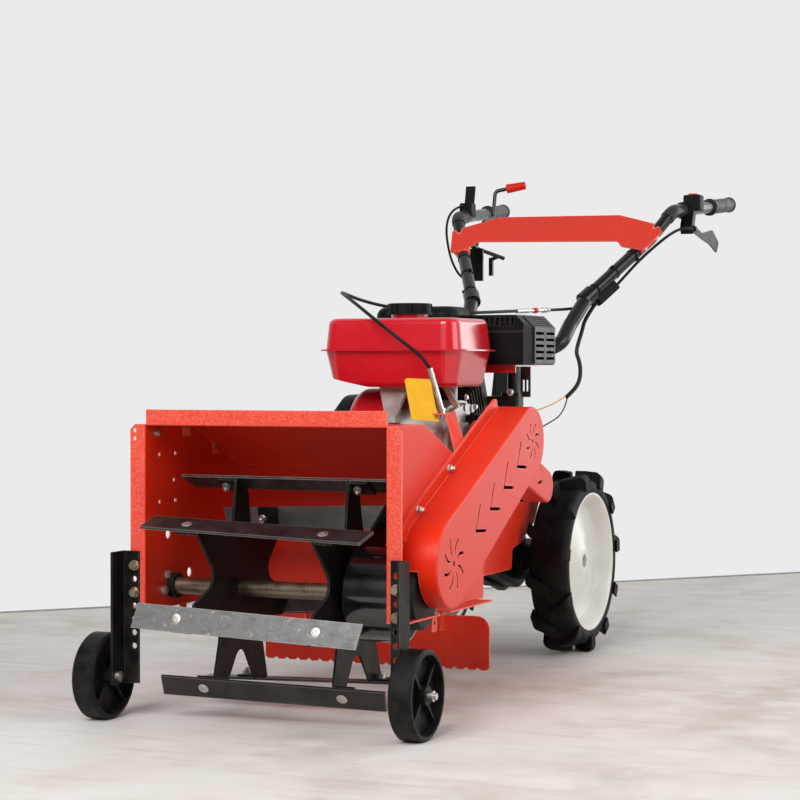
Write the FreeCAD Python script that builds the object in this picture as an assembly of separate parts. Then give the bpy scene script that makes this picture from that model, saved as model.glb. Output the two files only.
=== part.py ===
import FreeCAD, Part
import math
import os

# Self-propelled weeder: a walk-behind machine that pushes an open blade rotor ahead of it.
# Millimetres. +Z up, -Y is the way it travels, +X is the belt side.
# The origin is on the floor, under the middle of the machine's length and width.

# ---- driving sizes: chamber ----
chamber_w = 486.0            # clear width between the side walls
chamber_l = 470.0
front_y = -986.0             # front face of the chamber's bolting flanges
wall_bottom_z = 198.0
wall_h = 347.0
sheet = 3.0                  # sheet of chamber, covers, brace and flap
bend_r = 4.0
roof_flat = 170.0            # level part of the roof
roof_run = 209.0             # sloping part of the roof
roof_drop = 87.0
back_lean = 77.0             # how far the foot of the back wall lies behind its top
lip_h = 27.0
lip_setback = 4.0
hood_tab_w = 26.0
hood_tab_h = 22.0
front_flange_w = 28.0
flange_corner = 10.0
guard_hole_r = 3.5
guard_hole_top = 12.0
guard_hole_pitch = 15.0
guard_hole_out = 19.0        # beside the wall's outer face
foot_flange_w = 39.0
foot_front_l = 151.0
foot_gap = 52.0
foot_rear_l = 214.0
ear_out = 17.0
ear_w = 24.0
ear_drop = 33.0
ear_hole_r = 4.5
wall_hole_r = 4.0
wall_port_r = 9.0
# ---- rotor ----
rotor_back = 103.0           # axis behind the chamber's front
rotor_z = 238.0
shaft_r = 15.5
running_gap = 0.05           # radial clearance of a shaft in its bearing
bearing_r = 24.0
gear_case_r = 62.0
gear_case_out = 30.0         # how far the reduction case stands out of the wall
drum_r = 86.5
drum_l = 91.0
drum_side_gap = 6.0
drum_wall = 4.0
star_left_x = -98.0          # middle of the blade carrier on the fan side
star_in = 107.0              # the other carrier, inside the belt-side wall
star_t = 5.0
blade_count = 7
blade_side_gap = 8.0         # blades' ends to the belt-side wall
blade_l = 450.0
blade_w = 46.0
blade_t = 5.0
blade_seat_r = 195.0         # rotor axis to the seat of a blade
blade_tilt = 30.0            # blade turned from square to its arm, degrees
blade_lead = 37.6            # first arm, degrees above straight ahead
blade_twist = 3.5            # how far the belt-side carrier lags, degrees
blade_rake = 8.0             # slant of the blade's ends, degrees
notch_r = 114.0              # rotor axis to the bottom of a notch
notch_bottom_r = 26.0
arm_w = 46.0
tab_w = 36.0
# ---- gauge wheels ----
gauge_r = 80.0
gauge_w = 44.0
gauge_ahead = 29.0           # axle ahead of the chamber's front
gauge_gap = 3.0
gauge_bolt_r = 6.0
gauge_nut_r = 9.5
gauge_rim_t = 9.0
gauge_web_t = 6.0
gauge_hub_r = 17.0
gauge_rib_t = 5.0
gauge_ribs = 4
bracket_t = 4.0
bracket_off = 8.0            # beside the wall's outer face
bracket_w = 35.0
bracket_leg = 47.0
bracket_l = 245.0
bracket_below = 15.0         # how far it reaches below the axle
bracket_holes = 7
bracket_pitch = 24.8
bracket_hole_r = 5.5
bracket_hole_in = 10.0
bracket_top_hole = 27.0
# ---- belt covers ----
cover_d = 69.0
cover_low_back = 34.0        # lower circle behind and above the rotor axis
cover_low_up = 57.0
cover_low_r = 82.0
cover_up_r = 68.0
cover_edge_r = 4.0
cover_flange = 22.0
case_notch_gap = 5.0
hook_count = 4
hook_pitch = 82.0
hook_foot = 55.0
hook_h = 52.0
swirl_petals = 8
swirl_low_r = 47.0
swirl_up_r = 36.0
rear_cover_d = 50.0
rear_cover_r0 = 34.0
rear_cover_r1 = 40.0
shaft_hole_r = 28.0
# ---- engine ----
crank_y = -431.0
crank_z = 504.0
crank_h = 106.0              # crank above the engine's foot
crank_r = 12.7
crank_end_gap = 12.0
case_x0 = 34.0               # crankcase between the fan cover and the side cover
case_w = 124.0
side_cover_t = 12.0
side_cover_r = 84.0
boss_r = 36.0
boss_t = 10.0
foot_t = 12.0
cylinder_lean = 25.0
barrel_start = 80.0          # along the cylinder from the crank
barrel_l = 98.0
fin_count = 7
fin_t = 4.0
fin_w = 116.0
barrel_w = 92.0
head_l = 36.0
head_w = 112.0
rocker_l = 24.0
rocker_w = 84.0
fan_w = 86.0
fan_r = 104.0
fan_duct_r = 46.0
fan_edge_r = 22.0
recoil_r = 92.0
recoil_nose_r = 62.0
recoil_l = 55.0
recoil_t = 3.0
recoil_slots = 16
recoil_slot_w = 7.0
# tank
tank_x0 = -74.0
tank_w = 291.0
tank_y0 = -586.0
tank_l = 210.0
tank_z0 = 611.0
tank_low_h = 73.0
tank_top_h = 63.0
tank_low_draft = 15.0
tank_top_draft = 6.0
tank_corner_r = 34.0
tank_edge_r = 14.0
tank_seam_w = 11.0
tank_seam_t = 3.0
tank_rise = 21.0             # how far the floor rises to the fan side
tank_rise_w = 100.0
cap_x = 74.0
cap_y = -480.0
cap_r = 45.0
cap_h = 22.0
cap_lobes = 9
cap_notch_r = 8.0
neck_r = 37.0
neck_h = 9.0
# muffler
muffler_x0 = 120.0
muffler_w = 158.0
muffler_y0 = -350.0
muffler_l = 159.0
muffler_z0 = 655.0
muffler_h = 102.0
muffler_bevel = 26.0
muffler_chamfer_x = 9.0
muffler_chamfer_y = 35.0
guard_slots = 6
guard_slot_w = 6.0
guard_slot_h = 18.0
guard_slot_pitch = 11.0
end_slot_rows = 5
end_slot_pitch = 12.8
end_slot_h = 5.5
end_slot_l = 50.0
end_slot_gap = 13.0
slot_depth = 9.0
pipe_x = 196.0
pipe_y = -215.0
pipe_r = 12.0
port_z = 590.0
# air cleaner and carburettor
cleaner_x0 = -90.0
cleaner_w = 195.0
cleaner_y0 = -315.0
cleaner_l = 130.0
cleaner_z0 = 655.0
cleaner_h = 123.0
cleaner_corner_r = 38.0
cleaner_edge_r = 22.0
cleaner_draft = 5.0
cleaner_foot_h = 8.0
carb_x = -8.0
carb_w = 42.0
bowl_r = 17.0
# ---- frame and gearbox ----
rail_x = 110.0               # outer face of the frame rails
rail_t = 6.0
rail_z0 = 205.0
rail_z1 = 358.0
rail_end_y = 200.0
rail_step_y = -285.0
plate_t = 6.0
input_y = -135.0
input_z = 398.0
input_r = 22.0
gearbox_hw = 46.0            # half width of the gear case
gear_mid_y = 50.0
gear_mid_z = 300.0
gear_mid_r = 100.0
gear_input_r = 52.0
gear_low_r = 66.0
gear_seam_t = 12.0
gear_seam_w = 9.0
axle_house_r = 34.0
# ---- drive wheels ----
axle_y = 244.0
axle_r = 14.0
tyre_r = 207.5
tyre_w = 100.0
tyre_x = 125.0               # inner face of each drive tyre
bead_r = 150.0
tyre_shoulder = 14.0
rim_t = 3.5
rim_lip = 8.0
dish_d = 56.0
hub_r = 24.0
hub_hole_gap = 1.0
hub_in = 8.0                 # how far the hub reaches in past the tyre
axle_house_gap = 6.0
# ---- handlebar ----
column_y = 276.0
column_up = 42.5             # foot of the column above the axle
u_x = 122.0
u_y = 290.0
u_z = 694.0
u_bend = 40.0
lower_tube_r = 17.0
tube_r = 15.0
tube_bend = 45.0
collar_r = 20.0
collar_l = 34.0
collar_x = 147.0
collar_y = 424.0
collar_z = 818.0
brace_x = 247.0
brace_y = 606.0
brace_z = 963.0
knee_x = 283.0
knee_y = 674.0
knee_z = 1033.0
handle_x = 316.0
handle_y = 1090.0
handle_z = 1078.0
grip_r = 17.5
grip_l = 150.0
grip_flange_r = 22.0
sleeve_r = 17.0
sleeve_before = 26.0
sleeve_after = 66.0
# ---- scraper flap ----
flap_gap = 30.0              # behind the side walls
flap_side = 4.0              # how far it reaches past the chamber's clear width
flap_z0 = 51.0
flap_z1 = 158.0
flap_corner = 26.0
wave_count = 20
wave_h = 5.0
pin_y = -500.0
pin_z = 178.0
pin_r = 5.0
ear_eye_r = 11.0
flap_ear_x = 150.0
flap_ear_t = 5.0

# ---- worked out from the sizes above ----
wall_in = chamber_w / 2
wall_out = wall_in + sheet
wall_top_z = wall_bottom_z + wall_h
chamber_back_y = front_y + chamber_l
roof_bend_y = front_y + roof_flat
roof_end_y = roof_bend_y + roof_run
roof_end_z = wall_top_z - roof_drop
back_foot_y = roof_end_y + back_lean
rotor_y = front_y + rotor_back
drum_x0 = wall_in - drum_side_gap - drum_l
star_right_x = wall_in - star_in
blade_x1 = wall_in - blade_side_gap
blade_x0 = blade_x1 - blade_l
shaft_end = drum_x0 + 0.77 * drum_l
bracket_x0 = wall_out + bracket_off
bracket_x1 = bracket_x0 + bracket_w
bracket_z0 = gauge_r - bracket_below
bracket_z1 = bracket_z0 + bracket_l
gauge_x = bracket_x1 + gauge_gap
gauge_y = front_y - gauge_ahead
cover_x0 = wall_out + sheet
cover_x1 = cover_x0 + cover_d
cover_low_y = rotor_y + cover_low_back
cover_low_z = rotor_z + cover_low_up
base_z = crank_z - crank_h
case_x1 = case_x0 + case_w
case_mid_x = case_x0 + case_w / 2
rear_cover_x0 = wall_out - rear_cover_d
tank_x1 = tank_x0 + tank_w
tank_y1 = tank_y0 + tank_l
seam_z = tank_z0 + tank_low_h
tank_z1 = seam_z + tank_top_h
cap_z = tank_z1 + neck_h
muffler_x1 = muffler_x0 + muffler_w
muffler_y1 = muffler_y0 + muffler_l
muffler_z1 = muffler_z0 + muffler_h
tyre_x1 = tyre_x + tyre_w
flap_y = chamber_back_y + flap_gap
flap_hw = wall_in + flap_side


# ---- makers of plain shapes ----
def vec(x, y, z):
    return FreeCAD.Vector(x, y, z)


def block(x0, x1, y0, y1, z0, z1):
    return Part.makeBox(x1 - x0, y1 - y0, z1 - z0, vec(x0, y0, z0))


def rod(p, q, r):
    return Part.makeCylinder(r, (q - p).Length, p, q - p)


def rod_x(x0, x1, y, z, r):
    return rod(vec(x0, y, z), vec(x1, y, z), r)


def rod_z(x, y, z0, z1, r):
    return rod(vec(x, y, z0), vec(x, y, z1), r)


def prism(points, along):
    return Part.Face(Part.makePolygon(points + points[:1])).extrude(along)


def prism_x(points, x0, x1):
    return prism([vec(x0, y, z) for y, z in points], vec(x1 - x0, 0, 0))


def prism_y(points, y0, y1):
    return prism([vec(x, y0, z) for x, z in points], vec(0, y1 - y0, 0))


def prism_z(points, z0, z1):
    return prism([vec(x, y, z0) for x, y in points], vec(0, 0, z1 - z0))


def ring_x(section, y, z):
    # a section of (x, radius) pairs turned about the axis through (y, z)
    wire = Part.makePolygon([vec(x, y, z + r) for x, r in section + section[:1]])
    return Part.Face(wire).revolve(vec(0, y, z), vec(1, 0, 0), 360)


def joined(shapes):
    whole = shapes[0].multiFuse(shapes[1:]) if len(shapes) > 1 else shapes[0]
    return whole.removeSplitter()


def mirrored(shape):
    return shape.mirror(vec(0, 0, 0), vec(1, 0, 0))


def both_sides(shape):
    return Part.makeCompound([mirrored(shape), shape])


def turned(shape, centre, axis, degrees):
    copy = shape.copy()
    copy.rotate(centre, axis, degrees)
    return copy


def edges_at(shape, x=None, y=None, z=None):
    # the edges that lie wholly at the coordinates given
    near = 0.05
    found = []
    for edge in shape.Edges:
        box = edge.BoundBox
        spans = ((x, box.XMin, box.XMax), (y, box.YMin, box.YMax), (z, box.ZMin, box.ZMax))
        if all(at is None or (abs(low - at) < near and abs(high - at) < near) for at, low, high in spans):
            found.append(edge)
    return found


def upright_edges(shape):
    return [e for e in shape.Edges if e.BoundBox.XLength + e.BoundBox.YLength < 0.1]


def folded(line, thick, x0, x1):
    # sheet along the line of (y, z) points; its thickness is on the line's left, or right if negative
    inner = []
    for i, (y, z) in enumerate(line):
        normals = []
        for p, q in zip(line[max(i - 1, 0):i + 1], line[max(i, 1):i + 2]):
            length = math.hypot(q[0] - p[0], q[1] - p[1])
            normals.append((-(q[1] - p[1]) / length, (q[0] - p[0]) / length))
        ny = sum(n[0] for n in normals) / len(normals)
        nz = sum(n[1] for n in normals) / len(normals)
        scale = thick / (ny * ny + nz * nz)
        inner.append((y + ny * scale, z + nz * scale))
    return prism_x(line + inner[::-1], x0, x1)


def bent_wire(points, radius_at):
    # straight runs joined by tangent arcs; radius_at gives each corner's radius
    edges = []
    start = points[0]
    for a, b, c in zip(points, points[1:], points[2:]):
        into = (b - a).normalize()
        out = (c - b).normalize()
        half = into.getAngle(out) / 2
        radius = radius_at(a, b, c, half)
        reach = radius * math.tan(half)
        arc_in = b - into * reach
        arc_out = b + out * reach
        middle = b + (out - into).normalize() * (radius / math.cos(half) - radius)
        edges.append(Part.LineSegment(start, arc_in).toShape())
        edges.append(Part.Arc(arc_in, middle, arc_out).toShape())
        start = arc_out
    edges.append(Part.LineSegment(start, points[-1]).toShape())
    return Part.Wire(edges)


def swept(wire, r, points):
    circle = Part.makeCircle(r, points[0], points[1] - points[0])
    return wire.makePipeShell([Part.Wire([circle])], True, False)


def bent_tube(points, r, bend):
    return swept(bent_wire(points, lambda a, b, c, half: bend), r, points)


def cable(name, points, r):
    # a free cable: each bend is as large as its two runs allow
    radii = []

    def radius_at(a, b, c, half):
        radii.append(0.45 * min((b - a).Length, (c - b).Length) / math.tan(half))
        return radii[-1]

    wire = bent_wire(points, radius_at)
    print(name, "length", round(wire.Length), "radii", [round(x) for x in radii])
    return swept(wire, r, points)


def belt_outline(y0, z0, r0, y1, z1, r1, x):
    # two circles joined by their outer tangents, as a wire in the plane at x
    along = math.atan2(z1 - z0, y1 - y0)
    lean = math.acos((r0 - r1) / math.hypot(y1 - y0, z1 - z0))

    def on(y, z, r, a):
        return vec(x, y + r * math.cos(a), z + r * math.sin(a))

    up, down = along + lean, along - lean
    back0 = on(y0, z0, r0, along + math.pi)
    nose1 = on(y1, z1, r1, along)
    return Part.Wire([
        Part.Arc(on(y0, z0, r0, down), back0, on(y0, z0, r0, up)).toShape(),
        Part.LineSegment(on(y0, z0, r0, up), on(y1, z1, r1, up)).toShape(),
        Part.Arc(on(y1, z1, r1, up), nose1, on(y1, z1, r1, down)).toShape(),
        Part.LineSegment(on(y1, z1, r1, down), on(y0, z0, r0, down)).toShape()])


def belt_solid(y0, z0, r0, y1, z1, r1, x0, x1):
    return Part.Face(belt_outline(y0, z0, r0, y1, z1, r1, x0)).extrude(vec(x1 - x0, 0, 0))


def rounded_outline(x0, x1, y0, y1, z, r):
    # a level rectangle with round corners, as a wire
    corners = ((x1 - r, y0 + r, -90), (x1 - r, y1 - r, 0), (x0 + r, y1 - r, 90), (x0 + r, y0 + r, 180))
    edges = []
    last = None
    for cx, cy, start in corners:
        ends = []
        for turn in (start, start + 45, start + 90):
            a = math.radians(turn)
            ends.append(vec(cx + r * math.cos(a), cy + r * math.sin(a), z))
        if last is not None:
            edges.append(Part.LineSegment(last, ends[0]).toShape())
        else:
            first = ends[0]
        edges.append(Part.Arc(*ends).toShape())
        last = ends[2]
    edges.append(Part.LineSegment(last, first).toShape())
    return Part.Wire(edges)


def tapered(x0, x1, y0, y1, z0, z1, draft, r):
    # rounded box whose walls lean in by the draft from z0 to z1
    foot = rounded_outline(x0, x1, y0, y1, z0, r)
    top = rounded_outline(x0 + draft, x1 - draft, y0 + draft, y1 - draft, z1, r - draft / 2)
    return Part.makeLoft([foot, top], True, True)


# ---- chamber ----
def back_wall_y(z):
    # rear face of the leaning back wall
    rise = roof_end_z - wall_bottom_z
    return roof_end_y + (roof_end_z - z) / rise * back_lean + sheet * math.hypot(rise, back_lean) / rise


def chamber_side():
    # wall with a flange bent out in front and a foot flange in two lengths
    slope = roof_drop / roof_run
    back_z = wall_top_z - slope * (chamber_back_y - roof_bend_y)
    edge = wall_out + front_flange_w
    wall = prism_x([(front_y, wall_bottom_z), (front_y, wall_top_z), (roof_bend_y, wall_top_z),
                    (chamber_back_y, back_z), (chamber_back_y, wall_bottom_z)], wall_in, wall_out)
    flange = prism_y([(wall_out, wall_bottom_z), (edge, wall_bottom_z), (edge, wall_top_z - flange_corner),
                      (edge - flange_corner, wall_top_z), (wall_out, wall_top_z)], front_y, front_y + sheet)
    foot_z = wall_bottom_z + sheet
    gap_y = front_y + foot_front_l
    rear_y = gap_y + foot_gap
    feet = [block(wall_out, wall_out + foot_flange_w, y, y + length, wall_bottom_z, foot_z)
            for y, length in ((front_y, foot_front_l), (rear_y, foot_rear_l))]
    ear_y = rear_y - foot_gap / 2 - ear_w / 2
    shelf = block(wall_out, wall_out + ear_out, ear_y, ear_y + ear_w, wall_bottom_z, foot_z)
    ear = block(wall_out + ear_out - sheet, wall_out + ear_out, ear_y, ear_y + ear_w,
                wall_bottom_z - ear_drop, foot_z)
    side = joined([wall, flange, shelf, ear] + feet)
    side = side.makeFillet(bend_r, edges_at(side, x=wall_in, y=front_y))
    holes = [rod_x(wall_out, wall_out + ear_out + 1, ear_y + ear_w / 2, wall_bottom_z - ear_drop / 2, ear_hole_r)]
    for x, z, r in flange_holes():
        holes.append(rod(vec(x, front_y - 1, z), vec(x, front_y + sheet + 1, z), r))
    return side.cut(holes)


def flange_holes():
    # two for a guard above, and the gauge bracket's adjusting holes below
    found = []
    for i in range(2):
        top = wall_top_z - guard_hole_top - i * guard_hole_pitch
        found.append((wall_out + guard_hole_out, top, guard_hole_r))
    for z in bracket_hole_heights():
        if z > wall_bottom_z + bracket_hole_r:
            found.append((bracket_bolt_x(), z, bracket_hole_r))
    return found


def wall_holes():
    # spare holes and ports through the wall on the fan side
    x0, x1 = wall_in - 1, wall_out + 1
    holes = [rod_x(x0, x1, front_y + along, wall_top_z - down, wall_hole_r)
             for along in (55, 115) for down in (58, 147)]
    holes.append(rod_x(x0, x1, front_y + 110, wall_top_z - 108, wall_hole_r))
    holes.append(rod_x(x0, x1, rotor_y - 16, rotor_z + 98, wall_port_r))
    holes.append(rod_x(x0, x1, rotor_y + 67, rotor_z + 19, wall_port_r))
    return [mirrored(hole) for hole in holes]


def chamber_hood():
    front = front_y + lip_setback + sheet
    line = [(front, wall_top_z + lip_h), (front, wall_top_z), (roof_bend_y, wall_top_z),
            (roof_end_y, roof_end_z)]
    hood = folded(line, -sheet, -wall_in, wall_in)
    hood = hood.makeFillet(bend_r, edges_at(hood, y=front - sheet, z=wall_top_z - sheet))
    tabs = []
    for y in (roof_bend_y - hood_tab_w, roof_bend_y + roof_run / 2 - hood_tab_w / 2):
        drop = max(0, y - roof_bend_y) * roof_drop / roof_run
        top = wall_top_z - drop - sheet - 2
        next_top = top - (0 if y < roof_bend_y else hood_tab_w * roof_drop / roof_run)
        low = top - hood_tab_h
        tabs.append(prism_x([(y, low), (y, top + 2), (y + hood_tab_w, next_top + 2), (y + hood_tab_w, low)],
                            wall_in - sheet, wall_in))
    return joined([hood] + tabs + [mirrored(tab) for tab in tabs])


def chamber_back(hood):
    line = [(roof_end_y, roof_end_z), (back_foot_y, wall_bottom_z)]
    return folded(line, sheet, -wall_in, wall_in).cut(hood)


# ---- gauge wheels ----
def bracket_bolt_x():
    return bracket_x0 + bracket_hole_in


def bracket_hole_heights():
    top = bracket_z1 - bracket_top_hole
    return [top - i * bracket_pitch for i in range(bracket_holes)]


def wheel_bracket():
    front = front_y - bracket_t
    front_leg = block(bracket_x0, bracket_x1, front, front_y, bracket_z0, bracket_z1)
    side_leg = block(bracket_x1 - bracket_t, bracket_x1, front_y - bracket_leg, front_y,
                     bracket_z0, bracket_z1)
    angle = joined([front_leg, side_leg])
    holes = [rod(vec(bracket_bolt_x(), front - 1, z), vec(bracket_bolt_x(), front_y + 1, z), bracket_hole_r)
             for z in bracket_hole_heights()]
    holes.append(rod_x(bracket_x0, bracket_x1 + 1, gauge_y, gauge_r, gauge_bolt_r))
    return angle.cut(holes)


def gauge_bolt():
    seat = bracket_x1 - bracket_t
    wheel_end = gauge_x + gauge_w
    head_t = 7.0
    nut_t = 10.0
    head = rod_x(seat - head_t, seat, gauge_y, gauge_r, gauge_nut_r)
    shank = rod_x(seat, wheel_end + nut_t + 6, gauge_y, gauge_r, gauge_bolt_r)
    nut = rod_x(wheel_end + 1, wheel_end + 1 + nut_t, gauge_y, gauge_r, gauge_nut_r)
    return joined([head, shank, nut])


def gauge_wheel():
    # two-sided moulded wheel: rim, thin web, hub and short ribs
    x0, x1 = gauge_x, gauge_x + gauge_w
    mid = (x0 + x1) / 2
    bore = gauge_bolt_r + running_gap
    rim_in = gauge_r - gauge_rim_t
    web0, web1 = mid - gauge_web_t / 2, mid + gauge_web_t / 2
    edge = 4.0
    body = ring_x([(x0, bore), (x0, gauge_hub_r), (web0, gauge_hub_r), (web0, rim_in), (x0, rim_in),
                   (x0, gauge_r - edge), (x0 + edge, gauge_r), (x1 - edge, gauge_r),
                   (x1, gauge_r - edge), (x1, rim_in), (web1, rim_in), (web1, gauge_hub_r),
                   (x1, gauge_hub_r), (x1, bore)], gauge_y, gauge_r)
    depth = gauge_w / 2 - 8.0
    ribs = []
    for i in range(gauge_ribs):
        rib = block(mid - depth, mid + depth, gauge_hub_r - 1, rim_in + 1, -gauge_rib_t / 2, gauge_rib_t / 2)
        rib.rotate(vec(0, 0, 0), vec(1, 0, 0), 45 + 360 / gauge_ribs * i)
        rib.translate(vec(0, gauge_y, gauge_r))
        ribs.append(rib)
    return joined([body] + ribs)


# ---- rotor ----
def around_rotor(shape, degrees):
    # shapes are drawn with the arm straight ahead (-Y) and turned upwards from there
    copy = turned(shape, vec(0, 0, 0), vec(1, 0, 0), -degrees)
    copy.translate(vec(0, rotor_y, rotor_z))
    return copy


def on_arm(shape, i):
    # stand a shape drawn on the X axis, facing -Y, on the seat at the end of arm i
    lag = blade_seat_r * math.radians(blade_twist)
    skew = math.degrees(math.atan(lag / (star_right_x - star_left_x + tab_w)))
    middle = vec((star_left_x + star_right_x) / 2, 0, 0)
    seated = turned(shape, middle, vec(1, 0, 0), -blade_tilt)
    seated = turned(seated, middle, vec(0, 1, 0), skew)
    seated.translate(vec(0, -blade_seat_r, 0))
    return around_rotor(seated, blade_lead + 360 / blade_count * i)


def notch_cutter(x0, x1):
    # drawn between two arms, on the -Y axis: a round bottom with straight flaring walls
    step = math.pi / blade_count
    corner_a = step - math.atan2(arm_w / 2, blade_seat_r)
    corner_r = math.hypot(blade_seat_r, arm_w / 2)
    centre_y = -notch_r - notch_bottom_r
    py, pz = -corner_r * math.cos(corner_a), corner_r * math.sin(corner_a)
    gap = math.hypot(py - centre_y, pz)
    turn = math.atan2(pz, py - centre_y) - math.acos(notch_bottom_r / gap)
    ty, tz = centre_y + notch_bottom_r * math.cos(turn), notch_bottom_r * math.sin(turn)
    out_y = -blade_seat_r - blade_w
    out_z = pz + (pz - tz) / (py - ty) * (out_y - py)
    wall = prism_x([(ty, tz), (out_y, out_z), (out_y, -out_z), (ty, -tz)], x0, x1)
    return wall.fuse(rod_x(x0, x1, centre_y, 0, notch_bottom_r))


def rotor_plate(side):
    # many-armed plate on the shaft, with a blade seat bent off the end of each arm
    middle = star_right_x if side > 0 else star_left_x
    x0, x1 = middle - star_t / 2, middle + star_t / 2
    lead = blade_lead - side * blade_twist / 2
    body = rod_x(x0, x1, rotor_y, rotor_z, blade_seat_r + arm_w / 2)
    tab = (x0, x1 + tab_w) if side > 0 else (x0 - tab_w, x1)
    room = 60.0
    cuts = []
    tabs = []
    for i in range(blade_count):
        cuts.append(around_rotor(notch_cutter(x0 - 1, x1 + 1), lead + 360 / blade_count * (i + 0.5)))
        cuts.append(on_arm(block(x0 - 20, x1 + 20, -room, 0, -room, room), i))
        tabs.append(on_arm(block(*tab, 0, star_t, -arm_w / 2, arm_w / 2), i))
    whole = joined([body.cut(cuts)] + tabs)
    return whole.cut(rod_x(x0 - 1, x1 + 1, rotor_y, rotor_z, shaft_r))


def rotor_blades():
    slant = blade_w * math.tan(math.radians(blade_rake))
    flat = prism_y([(blade_x0, -blade_w / 2), (blade_x1 - slant, -blade_w / 2), (blade_x1, blade_w / 2),
                    (blade_x0 + slant, blade_w / 2)], -blade_t, 0)
    return Part.makeCompound([on_arm(flat, i) for i in range(blade_count)])


def rotor_shaft():
    return rod_x(-wall_out - 8, shaft_end, rotor_y, rotor_z, shaft_r)


def rotor_drum():
    # cup over the reduction case, turning with the shaft
    x1 = wall_in - drum_side_gap
    rim = 6.0
    return ring_x([(drum_x0, shaft_r), (drum_x0, drum_r - rim), (drum_x0 + rim, drum_r), (x1, drum_r),
                   (x1, drum_r - drum_wall), (drum_x0 + rim, drum_r - drum_wall),
                   (drum_x0 + drum_wall, drum_r - drum_wall - rim), (drum_x0 + drum_wall, shaft_r)],
                  rotor_y, rotor_z)


def rotor_bearing():
    bore = shaft_r + running_gap
    flange_t = 6.0
    x_in, x_out = wall_in - 13, wall_out + 18
    section = [(x_in, bore), (x_in, bearing_r), (wall_out, bearing_r), (wall_out, bearing_r + 12),
               (wall_out + flange_t, bearing_r + 12), (wall_out + flange_t, bearing_r + 4),
               (x_out - 4, bearing_r + 4), (x_out, bearing_r), (x_out, 0), (wall_out + 10, 0),
               (wall_out + 10, bore)]
    return mirrored(ring_x(section, rotor_y, rotor_z))


def gear_case():
    # reduction case that carries the rotor on the belt side, half of it inside the drum
    bore = shaft_r + running_gap
    x_in = drum_x0 + 20
    x_out = wall_out + gear_case_out
    inner_r = gear_case_r - 6
    nose_r = 40.0
    section = [(x_in, bore), (x_in, nose_r), (x_in + 16, inner_r), (wall_in - 4, inner_r),
               (wall_in - 4, drum_r - 12), (wall_in, drum_r - 12), (wall_in, gear_case_r),
               (x_out - 6, gear_case_r), (x_out, inner_r), (x_out, 0), (shaft_end + 2, 0), (shaft_end + 2, bore)]
    return ring_x(section, rotor_y, rotor_z)


# ---- belt covers ----
def front_strip(x0, x1):
    # the cover's bolting flange: round the lower circle, up the straight edge, to a rounded tip
    wide = belt_solid(cover_low_y, cover_low_z, cover_low_r + cover_flange,
                      crank_y, crank_z, cover_up_r + cover_flange, x0, x1)
    reach = 3 * cover_low_r
    start, finish = math.radians(149), math.radians(108)
    sector = [(cover_low_y, cover_low_z),
              (cover_low_y + reach * math.cos(start), cover_low_z + reach * math.sin(start)),
              (crank_y + reach * math.cos(finish), crank_z + reach * math.sin(finish)),
              (crank_y, crank_z)]
    strip = wide.common(prism_x(sector, x0, x1))
    edges = [e for e in strip.Edges if abs(e.BoundBox.XLength - (x1 - x0)) < 0.1]
    tip = max(edges, key=lambda e: e.BoundBox.ZMax)
    return strip.makeFillet(cover_flange / 3, [tip])


def belt_back_plate(case_hole):
    plate = belt_solid(cover_low_y, cover_low_z, cover_low_r, crank_y, crank_z, cover_up_r, wall_out, cover_x0)
    plate = joined([plate, front_strip(wall_out, cover_x0)])
    return plate.cut([case_hole, rod_x(wall_out - 1, cover_x0 + 1, crank_y, crank_z, shaft_hole_r)])


def swirl_petal(r_in, r_out, x0, x1):
    # a comma-shaped slot: narrow near the hub, round and wide at its far end
    bulge = (r_out - r_in) * 0.16
    wide = (r_out - r_in) * 0.12
    mid = (r_in + r_out) / 2
    tip = vec(x0, r_in, 0)
    end = vec(x0, r_out, -wide)
    other = vec(x0, r_out - wide, wide * 1.2)
    back = Part.Arc(tip, vec(x0, mid, bulge + wide * 0.9), other).toShape()
    cap = Part.Arc(other, vec(x0, r_out + wide * 0.5, wide * 0.5), end).toShape()
    front = Part.Arc(end, vec(x0, mid, bulge - wide * 0.5), tip).toShape()
    return Part.Face(Part.Wire([back, cap, front])).extrude(vec(x1 - x0, 0, 0))


def swirl(y, z, r, x0, x1):
    cutters = [rod_x(x0, x1, y, z, r * 0.12)]
    for i in range(swirl_petals):
        petal = turned(swirl_petal(r * 0.3, r, x0, x1), vec(0, 0, 0), vec(1, 0, 0), 360 / swirl_petals * i + 20)
        petal.translate(vec(0, y, z))
        cutters.append(petal)
    return cutters


def hook_slot(y, z, way, x0, x1):
    # an L-shaped slot: a long foot with a slender leaning stroke; way is +1 or -1 along Y
    foot_t = 6.0
    stroke_t = 7.0
    lean = 0.42
    outline = [(0, 0), (hook_foot, -3), (hook_foot + foot_t / 2, 0), (hook_foot, foot_t - 3),
               (stroke_t, foot_t), (hook_h * lean + stroke_t, hook_h), (hook_h * lean, hook_h)]
    return prism_x([(y + way * a, z + b) for a, b in outline], x0, x1)


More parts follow.
